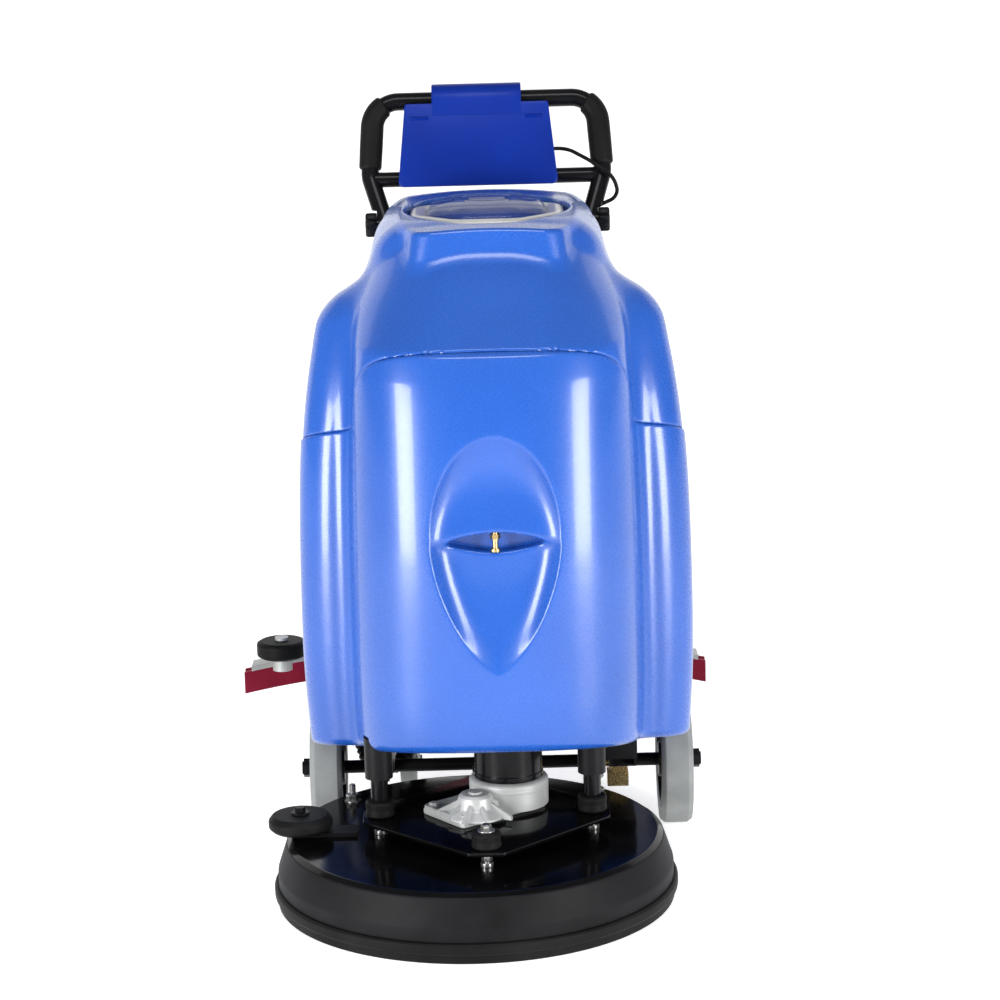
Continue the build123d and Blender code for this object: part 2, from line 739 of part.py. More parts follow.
def drain_hose():
    return pipe(route(DRAIN_ROUTE), DRAIN_R)


# ---- cable -------------------------------------------------------------------------------------
CABLE_R = 3.0
CABLE_ROUTE = (
    (PANEL_X + 108, 646, 1004),
    (168, 646, 1004),
    (206, 612, 986),
    (240, 604, 962),
    (248, 612, 930),
    (212, 616, 914),
)


# ---- handle ------------------------------------------------------------------------------------
LEAN = math.degrees(math.atan2(BAR_Y - KNEE_Y, BAR_Z - KNEE_Z))
SLOPE = Vector(0, math.sin(math.radians(LEAN)), math.cos(math.radians(LEAN)))
FACING = Vector(0, -math.cos(math.radians(LEAN)), math.sin(math.radians(LEAN)))


def on_handle(up, out):
    """A (y, z) place in the handle's side view: up its slope from the crossbar, and out to the front."""
    place = Vector(0, KNEE_Y, KNEE_Z) + SLOPE * up + FACING * out
    return (place.Y, place.Z)


def handle_path():
    """The middle line of the bent tube, from the right pivot over the top to the left one."""
    points = [
        (BODY_X - PIVOT_X, PIVOT_Y, PIVOT_Z),
        (BODY_X - KNEE_X, KNEE_Y, KNEE_Z),
        (BODY_X - BAR_X, BAR_Y, BAR_Z),
        (BODY_X + BAR_X, BAR_Y, BAR_Z),
        (BODY_X + KNEE_X, KNEE_Y, KNEE_Z),
        (BODY_X + PIVOT_X, PIVOT_Y, PIVOT_Z),
    ]
    return FilletPolyline(*points, radius=[KNEE_BEND, BAR_BEND, BAR_BEND, KNEE_BEND])


def handle_frame():
    knee_y = KNEE_Y + (CROSSBAR_Z - KNEE_Z) * (KNEE_Y - PIVOT_Y) / (KNEE_Z - PIVOT_Z)
    cross = rod_x(CROSSBAR_R, BODY_X - KNEE_X + 6, BODY_X + KNEE_X - 6, knee_y, CROSSBAR_Z)
    frame = pipe(handle_path(), TUBE_R) + cross
    for side in (-1, 1):
        eye = Pos(BODY_X + side * PIVOT_X, PIVOT_Y, PIVOT_Z) * Sphere(TUBE_R)
        a, b = sorted((BODY_X + side * 146, BODY_X + side * LEG_PIN_X))
        lug = rod_x(TUBE_R, a, b, PIVOT_Y, PIVOT_Z)
        bore = rod_x(KNOB_SCREW_R + RUNNING, a - 10, b + 10, PIVOT_Y, PIVOT_Z)
        frame = frame + eye + lug - bore
    trim_in = block(BODY_X - 145.6, BODY_X + 145.6, PIVOT_Y - 30, PIVOT_Y + 20, PIVOT_Z - 30, PIVOT_Z + 26)
    frame = frame - trim_in
    for side in (-1, 1):
        a, b = sorted((BODY_X + side * LEG_PIN_X, BODY_X + side * 220))
        frame = frame - block(a, b, PIVOT_Y - 30, PIVOT_Y + 24, PIVOT_Z - 30, PIVOT_Z + 23)
    return frame - pipe(route(CABLE_ROUTE), CABLE_R)


def grip(side):
    """A sleeve that follows the tube from just over the crossbar into the upper bend."""
    path = handle_path()
    climb = (GRIP_LOW_Z - PIVOT_Z) / (KNEE_Z - PIVOT_Z)
    first_run = math.dist((PIVOT_X, PIVOT_Y, PIVOT_Z), (KNEE_X, KNEE_Y, KNEE_Z))
    start = climb * first_run / path.length
    end = start + GRIP_LENGTH / path.length
    span = path.trim(start, end) if side < 0 else path.trim(1 - end, 1 - start)
    ring = Circle(GRIP_R) - Circle(TUBE_R)
    return sweep(Plane(origin=span @ 0, z_dir=span % 0) * ring, path=span)


def console_housing():
    side_view = [on_handle(22, PANEL_OFF), on_handle(98, PANEL_OFF), on_handle(96, -16), on_handle(28, -64)]
    return prism_x(side_view, PANEL_X - 108, PANEL_X + 108)


def panel_cover():
    """The plain front cover, with a tab that wraps over the top bar."""
    low_y, low_z = on_handle(-22, PANEL_OFF)
    face = Plane(origin=(PANEL_X, low_y, low_z), x_dir=(1, 0, 0), z_dir=FACING)
    height = 132.0
    corners = [
        (-PANEL_LOW_HALF, 0),
        (PANEL_LOW_HALF, 0),
        (PANEL_TOP_HALF, height),
        (-PANEL_TOP_HALF, height),
    ]
    sheet = extrude(face * make_face(Polyline(*corners, close=True)), PANEL_T)
    x0, x1 = PANEL_X - TAB_HALF, PANEL_X + TAB_HALF
    hood = tube_x(PANEL_OFF + PANEL_T, PANEL_OFF, x0, x1, BAR_Y, BAR_Z)
    upper = prism_x(
        [on_handle(118, 40), on_handle(170, 40), on_handle(170, -50), on_handle(118, -50)], x0 - 1, x1 + 1
    )
    hood = hood & upper
    up = (Vector(0, BAR_Y, BAR_Z) - Vector(0, KNEE_Y, KNEE_Z)).length
    front = prism_x(
        [
            on_handle(height - 24, PANEL_OFF),
            on_handle(up, PANEL_OFF),
            on_handle(up, PANEL_OFF + PANEL_T),
            on_handle(height - 24, PANEL_OFF + PANEL_T),
        ],
        x0,
        x1,
    )
    return joined(sheet, front, hood)


GAUGE_AT = (-62, 6)
KEY_AT = (78, 8)
BUTTONS_AT = ((-6, 8), (32, 8))
DIAL_AT = (12, -26)
BUTTON_R = 8.0


def console_plane():
    """The sloping control face, looked at by the operator from behind."""
    low = Vector(0, *on_handle(28, -64))
    high = Vector(0, *on_handle(96, -16))
    along = (high - low).normalized()
    normal = Vector(1, 0, 0).cross(along) * -1
    middle = (low + high) * 0.5
    return Plane(origin=(PANEL_X, middle.Y, middle.Z), x_dir=(-1, 0, 0), z_dir=normal)


def on_console(shape, across, up, out=0.0):
    return console_plane() * Pos(across, up, out) * shape


def disc(radius, height):
    return Pos(0, 0, height / 2) * Cylinder(radius, height)


def console_fittings():
    """The battery gauge, the key switch's barrel and the two button rings."""
    gauge = on_console(Pos(0, 0, 2) * Box(56, 30, 4), *GAUGE_AT)
    barrel = on_console(disc(11, 5) - disc(4 + RUNNING, 6), *KEY_AT)
    rings = [on_console(disc(12, 4) - disc(BUTTON_R + 0.4, 5), *place) for place in BUTTONS_AT]
    return group([gauge, barrel, *rings])


def key():
    stem = Pos(0, 0, 5) * Cylinder(4, 9)
    bow = Pos(0, 0, 20) * Box(4, 20, 22)
    return on_console(stem + bow, *KEY_AT, 0.4)


def button_cap(place):
    return on_console(Pos(0, 0, 3.4 + 4) * Cylinder(BUTTON_R, 8), *place)


def flow_dial():
    knob = disc(15, 14) + Pos(0, 8, 15) * Box(3, 12, 2)
    return on_console(knob, *DIAL_AT, 0.4)


def star_knob(side):
    start = BODY_X + side * (LEG_PIN_X + 0.4)
    end = BODY_X + side * (LEG_PIN_X + 18)
    a, b = sorted((start, end))
    head = rod_x(KNOB_R - 6, a, b, PIVOT_Y, PIVOT_Z)
    lobes = []
    for i in range(5):
        angle = math.radians(90 + 72 * i)
        y = PIVOT_Y + (KNOB_R - 6) * math.cos(angle)
        z = PIVOT_Z + (KNOB_R - 6) * math.sin(angle)
        lobes.append(rod_x(6, a, b, y, z))
    c, d = sorted((BODY_X + side * 128, start))
    screw = rod_x(KNOB_SCREW_R, c, d, PIVOT_Y, PIVOT_Z)
    return joined(head, *lobes, screw)


def cable():
    return pipe(route(CABLE_ROUTE), CABLE_R)


# ---- deck --------------------------------------------------------------------------------------
def deck_cover():
    profile = [
        (46, DECK_Z),
        (DECK_TOP_R - 5, DECK_Z),
        (DECK_TOP_R + 2, DECK_Z - 5),
        (DECK_R, 50),
        (DECK_R, BEAD_Z1),
        (DECK_R - 5, BEAD_Z1),
        (DECK_R - 5, 49),
        (DECK_TOP_R - 5, DECK_Z - DECK_T - 4),
        (DECK_TOP_R - 10, DECK_Z - DECK_T),
        (46, DECK_Z - DECK_T),
    ]
    return turned(profile, 0, 0)


def deck_skirt():
    """The rubber ring round the deck: a raised bumper bead with a thin skirt below it."""
    profile = [
        (DECK_R - 5, SKIRT_Z0),
        (DECK_R + 1, SKIRT_Z0),
        (DECK_R + 1, BEAD_Z0),
        (BEAD_R - 2, BEAD_Z0),
        (BEAD_R, BEAD_Z0 + 4),
        (BEAD_R, BEAD_Z1 - 4),
        (BEAD_R - 3, BEAD_Z1),
        (DECK_R - 5, BEAD_Z1),
    ]
    return turned(profile, 0, 0)


def carrier_corners():
    return [
        (CARRIER_X + CARRIER_HALF * math.cos(math.radians(a)), CARRIER_Y + CARRIER_HALF * math.sin(math.radians(a)))
        for a in (0, 90, 180, 270)
    ]


def carrier_plate():
    reach = CARRIER_HALF + 26
    corners = []
    for a in (0, 90, 180, 270):
        for turn in (-8, 8):
            angle = math.radians(a + turn)
            corners.append((CARRIER_X + reach * math.cos(angle), CARRIER_Y + reach * math.sin(angle)))
    plate = plate_z(corners, CARRIER_Z0, CARRIER_Z1) - rod_z(HUB_R + 8, 0, 0, 100, 130)
    for x, y in carrier_corners():
        plate = plate - rod_z(4, x, y, 100, 130)
    return plate


def deck_fasteners():
    """The studs, nuts and spacers of the carrier plate, two lugs and the guide columns."""
    bolts = []
    for x, y in carrier_corners():
        stud = rod_z(4, x, y, DECK_Z, CARRIER_Z1)
        spacer = tube_z(9, 4, x, y, DECK_Z, DECK_Z + 6)
        nut = hexagon_z(13, x, y, DECK_Z + 8, CARRIER_Z0)
        bolts.append(joined(stud, spacer, nut))
    for x in (-182, 182):
        stud = rod_z(5, x, 150, DECK_Z, DECK_Z + 26)
        nut = hexagon_z(17, x, 150, DECK_Z + 2, DECK_Z + 11)
        washer = rod_z(12, x, 150, DECK_Z, DECK_Z + 2)
        bolts.append(joined(stud, nut, washer))
    return group([*bolts, *deck_columns()])


def deck_buffers():
    pieces = []
    for x, y in carrier_corners():
        pieces.append(rod_z(BUFFER_R, x, y, CARRIER_Z1, CARRIER_Z1 + BUFFER_H))
    return group(pieces)


def deck_columns():
    """Guide columns on the left and right buffers, and cap nuts on the front and rear ones."""
    base = CARRIER_Z1 + BUFFER_H
    pieces = []
    for index, (x, y) in enumerate(carrier_corners()):
        if index % 2 == 0:
            pieces.append(rod_z(COLUMN_R, x, y, base, COLUMN_TOP))
        else:
            pieces.append(joined(rod_z(12, x, y, base, base + 2), hexagon_z(13, x, y, base + 2, base + 10)))
    return pieces


def gearbox():
    flange = plate_z([(105, 18), (46, 96), (-76, 0), (-16, -78)], CARRIER_Z1, CARRIER_Z1 + 12)
    drum = rod_z(GEAR_R, MOTOR_X, MOTOR_Y, CARRIER_Z1, GEAR_TOP)
    boss = rod_z(24, 2, -34, CARRIER_Z1 + 12, GEAR_TOP - 8)
    ribs = []
    for x, y in ((-66, 0), (-14, -68), (-36, -36)):
        rib_top = CARRIER_Z1 + 34
        foot = Vector(x, y, CARRIER_Z1 + 10)
        middle = Vector(20, 0, CARRIER_Z1 + 10)
        across = (middle - foot).cross(Vector(0, 0, 1)).normalized() * 4
        lift = Vector(0, 0, rib_top - foot.Z)
        outline_points = [foot, foot + Vector(0, 0, 4), middle + lift, middle]
        face = make_face(Polyline(*[p - across for p in outline_points], close=True))
        ribs.append(extrude(face, 8, dir=across))
    return joined(flange, drum, boss, *ribs)


def brush_motor():
    can = rod_z(MOTOR_R, MOTOR_X, MOTOR_Y, GEAR_TOP, MOTOR_TOP - 16)
    cap = rod_z(MOTOR_R - 8, MOTOR_X, MOTOR_Y, MOTOR_TOP - 16, MOTOR_TOP)
    return can + cap


def brush_disc():
    profile = [
        (0, BRISTLE_TOP),
        (BRUSH_R - 6, BRISTLE_TOP),
        (BRUSH_R - 6, BRUSH_TOP - 4),
        (BRUSH_R - 10, BRUSH_TOP),
        (60, BRUSH_TOP),
        (56, BRUSH_TOP + 10),
        (HUB_R, BRUSH_TOP + 12),
        (HUB_R, HUB_TOP),
        (0, HUB_TOP),
    ]
    return turned(profile, 0, 0)


def brush_bristles():
    profile = [(110, 0.0), (BRUSH_R, 0.0), (BRUSH_R - 8, BRISTLE_TOP), (116, BRISTLE_TOP)]
    return turned(profile, 0, 0)


def bumper_bracket():
    tongue = [(-168, -16), (-168, 20), (BUMPER_X - 10, BUMPER_Y + 16), (BUMPER_X - 10, BUMPER_Y - 16)]
    plate = plate_z(tongue, DECK_Z, DECK_Z + 6)
    stem = rod_z(6, BUMPER_X, BUMPER_Y, DECK_Z + 6, BUMPER_Z1 + 2)
    washer = rod_z(13, BUMPER_X, BUMPER_Y, BUMPER_Z1 + 0.6, BUMPER_Z1 + 3)
    head = hexagon_z(13, BUMPER_X, BUMPER_Y, BUMPER_Z1 + 3, BUMPER_Z1 + 10)
    return joined(plate, stem, washer, head)


def deck_bumper():
    profile = [
        (6 + RUNNING, BUMPER_Z0),
        (BUMPER_R - 6, BUMPER_Z0),
        (BUMPER_R, BUMPER_Z0 + 7),
        (BUMPER_R, BUMPER_Z1 - 7),
        (BUMPER_R - 6, BUMPER_Z1),
        (6 + RUNNING, BUMPER_Z1),
    ]
    return turned(profile, BUMPER_X, BUMPER_Y)


# ---- squeegee ----------------------------------------------------------------------------------
def swept_strip(offset, thickness, half, z0, z1):
    """An upright strip that follows the squeegee's curve, open towards the front."""
    inner = SQ_R + offset
    outer = inner + thickness
    ring = tube_z(outer, inner, 0, SQ_CENTRE_Y, z0, z1)
    return ring & block(-half, half, SQ_CENTRE_Y + 100, SQ_CENTRE_Y + SQ_R + 100, z0 - 1, z1 + 1)


def squeegee_body():
    """The cast channel with its roller posts, swing boss, suction port, blade clamp and knobs."""
    pieces = [
        swept_strip(-SQ_FLANGE, 2 * SQ_FLANGE, SQ_HALF - 12, SQ_BODY_Z0 + 6, SQ_BODY_Z1 - 6),
        swept_strip(-6, 12, SQ_HALF - 12, SQ_BODY_Z0, SQ_BODY_Z0 + 6),
    ]
    for side in (-1, 1):
        x = side * ROLLER_X
        pieces.append(rod_z(16, x, ROLLER_Y, SQ_BODY_Z0 + 8, ROLLER_Z0 - 4))
        pieces.append(block(x - 14, x + 14, ROLLER_Y, ROLLER_Y + 56, SQ_BODY_Z0 + 8, SQ_BODY_Z1 - 4))
        pieces.append(rod_z(ROLLER_PIN_R, x, ROLLER_Y, ROLLER_Z0 - 4, ROLLER_Z1 + 2))
        pieces.append(rod_z(11, x, ROLLER_Y, ROLLER_Z1 + 0.6, ROLLER_Z1 + 5))
        knob_y = SQ_CENTRE_Y + math.sqrt(SQ_R**2 - KNOB_AT**2)
        pieces.append(rod_z(5, side * KNOB_AT, knob_y, SQ_BODY_Z1 - 6, SQ_BODY_Z1 + 14))
        pieces.append(rod_z(16, side * KNOB_AT, knob_y, SQ_BODY_Z1 + 14, SQ_BODY_Z1 + 30))
    pieces.append(rod_z(16, 0, SWING_Y, SQ_BODY_Z1 - 8, arm_end()[1] - 14))
    pieces.append(rod_z(PORT_R, PORT_X, SWING_Y - 4, SQ_BODY_Z1 - 8, SQ_BODY_Z1 + 40))
    body = joined(*pieces)
    body = body - rod_z(SWING_PIN_R + RUNNING, 0, SWING_Y, SQ_BODY_Z1 - 6, 260)
    return body - rod_z(PORT_R - 4, PORT_X, SWING_Y - 4, SQ_BODY_Z1 - 4, SQ_BODY_Z1 + 50)


def blade(offset, low):
    return swept_strip(offset, 4, SQ_HALF, SQ_Z0 + low, SQ_Z0 + BLADE_H)


def blade_clamp():
    return swept_strip(10.2, 2.5, SQ_HALF - 20, SQ_Z0 + 22, SQ_BODY_Z0 + 4)


def roller(side):
    profile = [
        (ROLLER_PIN_R + RUNNING, ROLLER_Z0),
        (ROLLER_R - 6, ROLLER_Z0),
        (ROLLER_R, ROLLER_Z0 + 6),
        (ROLLER_R, ROLLER_Z1 - 6),
        (ROLLER_R - 6, ROLLER_Z1),
        (ROLLER_PIN_R + RUNNING, ROLLER_Z1),
    ]
    return turned(profile, side * ROLLER_X, ROLLER_Y)


def arm_end():
    angle = math.radians(ARM_RISE)
    return (ARM_Y + ARM_LENGTH * math.cos(angle), ARM_Z + ARM_LENGTH * math.sin(angle))


def squeegee_arm():
    y1, z1 = arm_end()
    half = 14.0
    thick = 10.0
    bar = Pos(0, ARM_Y, ARM_Z) * Rot(ARM_RISE, 0, 0) * Pos(0, ARM_LENGTH / 2, 0)
    body = bar * Box(2 * half - 0.8, ARM_LENGTH, 2 * thick)
    near = rod_x(thick, -half + 0.4, half - 0.4, ARM_Y, ARM_Z)
    far = rod_x(thick, -half + 0.4, half - 0.4, y1, z1)
    arm = joined(body, near, far)
    arm = arm - rod_x(ARM_PIN_R + RUNNING, -30, 30, ARM_Y, ARM_Z)
    return arm - rod_x(ARM_PIN_R + RUNNING, -30, 30, y1, z1)


def squeegee_yoke():
    """The fork on the arm's end, which keeps the squeegee level and carries its swing pin."""
    y1, z1 = arm_end()
    cheeks = []
    for side in (-1, 1):
        x0, x1 = sorted((side * 14.5, side * 21))
        cheeks.append(block(x0, x1, y1 - 14, y1 + 60, z1 - 13, z1 + 13))
    bridge = block(-21, 21, y1 + 44, SWING_Y + 14, z1 - 13, z1 - 3)
    pin = rod_x(ARM_PIN_R, -23, 23, y1, z1)
    swing_pin = rod_z(SWING_PIN_R, 0, SWING_Y, SQ_BODY_Z1 - 5, z1 - 3)
    return joined(*cheeks, bridge, pin, swing_pin)


# ---- rear levers -------------------------------------------------------------------------------
LEVER_X = 190.0
LEVER_Y = 606.0
LEVER_Z = 430.0
PEDAL_X = -60.0
PEDAL_Y = 606.0
PEDAL_Z = 380.0
LEVER_PIN_R = 6.0


def rear_brackets():
    """The pivots of the two rear levers, with the tank hinge's fixed knuckles."""
    brackets = []
    for x, y, z in ((LEVER_X, LEVER_Y, LEVER_Z), (PEDAL_X, PEDAL_Y, PEDAL_Z)):
        back = block(x + 6.5, x + 12, 560, y + 12, z - 22, z + 22) - body_form(0)
        pin = rod_x(LEVER_PIN_R, x - 8, x + 8, y, z)
        brackets.append(largest(back + pin))
    return group([*brackets, *tank_hinge()])


def squeegee_lever():
    hub = rod_x(13, LEVER_X - 6, LEVER_X + 6, LEVER_Y, LEVER_Z)
    stick = block(LEVER_X - 5, LEVER_X + 5, LEVER_Y - 7, LEVER_Y + 7, LEVER_Z, LEVER_Z + 112)
    knob = Pos(LEVER_X, LEVER_Y, LEVER_Z + 122) * Sphere(17)
    return joined(hub, stick, knob) - rod_x(LEVER_PIN_R + RUNNING, LEVER_X - 10, LEVER_X + 10, LEVER_Y, LEVER_Z)


def deck_pedal():
    hub = rod_x(13, PEDAL_X - 6, PEDAL_X + 6, PEDAL_Y, PEDAL_Z)
    stick = block(PEDAL_X - 5, PEDAL_X + 5, PEDAL_Y, PEDAL_Y + 80, PEDAL_Z - 7, PEDAL_Z + 7)
    tread = block(PEDAL_X - 36, PEDAL_X + 36, PEDAL_Y + 62, PEDAL_Y + 106, PEDAL_Z - 4, PEDAL_Z + 10)
    return joined(hub, stick, tread) - rod_x(LEVER_PIN_R + RUNNING, PEDAL_X - 10, PEDAL_X + 10, PEDAL_Y, PEDAL_Z)


def fill_cap():
    skirt = rod_y(38, -110, 581, 602, 480) - rod_y(32.3, -110, 570, 590.4, 480)
    ridge = block(-114, -106, 600, 608, 452, 508)
    return skirt + ridge


NODES = {
    "solution_tank": solution_tank(),
    "recovery_tank": recovery_tank(),
    "slot_bolt": slot_bolt(),
    "batteries": batteries(),
    "vacuum_motor": vacuum_motor(),
    "lid_rim": lid_rim(),
    "lid_dome": lid_dome(),
    "tank_fittings": tank_fittings(),
    "rear_brackets": rear_brackets(),
    "squeegee_lever": squeegee_lever(),
    "deck_pedal": deck_pedal(),
    "fill_cap": fill_cap(),
    "chassis_rails": chassis_rails(),
    "chassis_plate": chassis_plate(),
    "chassis_cross": chassis_cross(),
    "chassis_brackets": chassis_brackets(),
    "axle": axle(),
    "deck_hangers": deck_hangers(),
    "solution_valve": solution_valve(),
    "drain_hose": drain_hose(),
    "handle_frame": handle_frame(),
    "console_housing": console_housing(),
    "panel_cover": panel_cover(),
    "console_fittings": console_fittings(),
    "key": key(),
    "flow_dial": flow_dial(),
    "brush_button": button_cap(BUTTONS_AT[0]),
    "vacuum_button": button_cap(BUTTONS_AT[1]),
    "cable": cable(),
    "deck_cover": deck_cover(),
    "deck_skirt": deck_skirt(),
    "carrier_plate": carrier_plate(),
    "deck_fasteners": deck_fasteners(),
    "deck_buffers": deck_buffers(),
    "gearbox": gearbox(),
    "brush_motor": brush_motor(),
    "brush_disc": brush_disc(),
    "brush_bristles": brush_bristles(),
    "bumper_bracket": bumper_bracket(),
    "deck_bumper": deck_bumper(),
    "squeegee_arm": squeegee_arm(),
    "squeegee_yoke": squeegee_yoke(),
    "squeegee_body": squeegee_body(),
    "blade_front": blade(-10, 2),
    "blade_rear": blade(6, 0),
    "blade_clamp": blade_clamp(),
}
for hand, side in (("left", 1), ("right", -1)):
    NODES["grip_" + hand] = grip(side)
    NODES["star_knob_" + hand] = star_knob(side)
    NODES["drive_tyre_" + hand] = drive_tyre(side)
    NODES["drive_rim_" + hand] = drive_rim(side)
    NODES["caster_fork_" + hand] = caster_fork(side)
    NODES["caster_wheel_" + hand] = caster_wheel(side)
    NODES["squeegee_roller_" + hand] = roller(side)

os.makedirs("parts", exist_ok=True)
for name, shape in NODES.items():
    export_step(Pos(0, -MID_Y, 0) * shape, "parts/" + name + ".step")
print("nodes", len(NODES))
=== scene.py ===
"""Floor scrubber machine: the visual model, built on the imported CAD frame."""
import json
import math

import bmesh
import bpy
import numpy as np
from mathutils import Matrix, Vector


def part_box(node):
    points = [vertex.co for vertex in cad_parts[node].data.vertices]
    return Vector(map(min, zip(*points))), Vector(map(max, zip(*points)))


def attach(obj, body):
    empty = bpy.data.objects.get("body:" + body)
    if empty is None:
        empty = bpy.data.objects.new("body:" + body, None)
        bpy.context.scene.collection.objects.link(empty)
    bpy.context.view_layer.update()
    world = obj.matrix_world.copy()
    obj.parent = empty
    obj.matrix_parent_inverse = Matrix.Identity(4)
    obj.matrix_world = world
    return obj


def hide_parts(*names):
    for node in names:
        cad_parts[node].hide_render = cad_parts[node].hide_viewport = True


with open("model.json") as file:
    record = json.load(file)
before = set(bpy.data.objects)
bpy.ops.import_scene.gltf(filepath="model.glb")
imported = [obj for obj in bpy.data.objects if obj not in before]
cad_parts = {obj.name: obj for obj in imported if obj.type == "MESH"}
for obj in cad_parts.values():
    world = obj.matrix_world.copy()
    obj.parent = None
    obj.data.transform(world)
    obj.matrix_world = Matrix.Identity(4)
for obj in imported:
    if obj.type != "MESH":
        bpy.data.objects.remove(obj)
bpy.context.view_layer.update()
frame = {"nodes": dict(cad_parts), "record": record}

# Places are given in millimetres as on the drawing: y = 0 at the deck's centre, z = 0 on the floor,
# x = 0 in the middle of the cleaning path, with the tanks and handle BODY_X to the machine's left.
deck_lo, deck_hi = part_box("deck_cover")
tank_lo, tank_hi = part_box("solution_tank")
DECK_Y = (deck_lo[1] + deck_hi[1]) / 2
BODY_X = 500 * (tank_lo[0] + tank_hi[0])
MM = 0.001


def place(x, y, z):
    return Vector((x * MM, y * MM + DECK_Y, z * MM))


# ---- camera ----
CAMERA_AT = (48, -4107, 1479)
CAMERA_DIP = 12.36  # degrees that the view looks down
CAMERA_ROLL = -1.5
SENSOR_WIDTH = 36.0
FOCAL_LENGTH = 108.0


def make_camera():
    data = bpy.data.cameras.new("camera")
    data.sensor_fit = "HORIZONTAL"
    data.sensor_width = SENSOR_WIDTH
    data.lens = FOCAL_LENGTH
    data.clip_end = 100.0
    camera = bpy.data.objects.new("camera", data)
    bpy.context.scene.collection.objects.link(camera)
    tilt = Matrix.Rotation(math.radians(90.0 - CAMERA_DIP), 4, "X")
    roll = Matrix.Rotation(math.radians(CAMERA_ROLL), 4, "Z")
    camera.matrix_world = Matrix.Translation(place(*CAMERA_AT)) @ tilt @ roll
    bpy.context.scene.camera = camera


make_camera()


# ---- materials ----
def new_material(name, colour, roughness, metallic=0.0, **sockets):
    material = bpy.data.materials.new(name)
    material.use_nodes = True
    shader = material.node_tree.nodes["Principled BSDF"]
    shader.inputs["Base Color"].default_value = (*colour, 1.0)
    shader.inputs["Roughness"].default_value = roughness
    shader.inputs["Metallic"].default_value = metallic
    for socket, value in sockets.items():
        shader.inputs[socket.replace("_", " ")].default_value = value
    return material


def add_noise(material, scale, detail=3.0, stretch=(1, 1, 1)):
    nodes, links = material.node_tree.nodes, material.node_tree.links
    where = nodes.new("ShaderNodeTexCoord")
    mapping = nodes.new("ShaderNodeMapping")
    mapping.inputs["Scale"].default_value = stretch
    noise = nodes.new("ShaderNodeTexNoise")
    noise.inputs["Scale"].default_value = scale
    noise.inputs["Detail"].default_value = detail
    links.new(where.outputs["Object"], mapping.inputs["Vector"])
    links.new(mapping.outputs["Vector"], noise.inputs["Vector"])
    return noise


NOISE_LOW, NOISE_HIGH = 0.3, 0.7  # the span of a noise's values that colour and roughness follow


def vary_colour(material, noise, dark, light):
    nodes, links = material.node_tree.nodes, material.node_tree.links
    ramp = nodes.new("ShaderNodeValToRGB")
    ramp.color_ramp.elements[0].position = NOISE_LOW
    ramp.color_ramp.elements[1].position = NOISE_HIGH
    ramp.color_ramp.elements[0].color = (*dark, 1.0)
    ramp.color_ramp.elements[1].color = (*light, 1.0)
    links.new(noise.outputs["Fac"], ramp.inputs["Fac"])
    links.new(ramp.outputs["Color"], nodes["Principled BSDF"].inputs["Base Color"])


def vary_roughness(material, noise, low, high):
    nodes, links = material.node_tree.nodes, material.node_tree.links
    spread = nodes.new("ShaderNodeMapRange")
    spread.inputs["From Min"].default_value = NOISE_LOW
    spread.inputs["From Max"].default_value = NOISE_HIGH
    spread.inputs["To Min"].default_value = low
    spread.inputs["To Max"].default_value = high
    links.new(noise.outputs["Fac"], spread.inputs["Value"])
    links.new(spread.outputs["Result"], nodes["Principled BSDF"].inputs["Roughness"])


def add_bump(material, layers):
    """Bump from noise layers, each (noise, strength, distance in metres)."""
    nodes, links = material.node_tree.nodes, material.node_tree.links
    last = None
    for noise, strength, distance in layers:
        bump = nodes.new("ShaderNodeBump")
        bump.inputs["Strength"].default_value = strength
        bump.inputs["Distance"].default_value = distance
        links.new(noise.outputs["Fac"], bump.inputs["Height"])
        if last:
            links.new(last.outputs["Normal"], bump.inputs["Normal"])
        last = bump
    links.new(last.outputs["Normal"], nodes["Principled BSDF"].inputs["Normal"])


def surface(name, dark, light, rough, grain, bump, metallic=0.0, stretch=(1, 1, 1), blotch=14.0, **sockets):
    """A material with blotches of colour, a grain in its roughness and a bump.

    dark and light are the two ends of its colour, rough the ends of its roughness, grain and blotch the
    scales of the fine and the wide noise, and bump the fine noise's strength and distance in metres.
    """
    material = new_material(name, light, rough[1], metallic, **sockets)
    wide = add_noise(material, blotch, 4.0)
    fine = add_noise(material, grain, 3.0, stretch)
    vary_colour(material, wide, dark, light)
    vary_roughness(material, fine, *rough)
    add_bump(material, [(fine, *bump)])
    return material


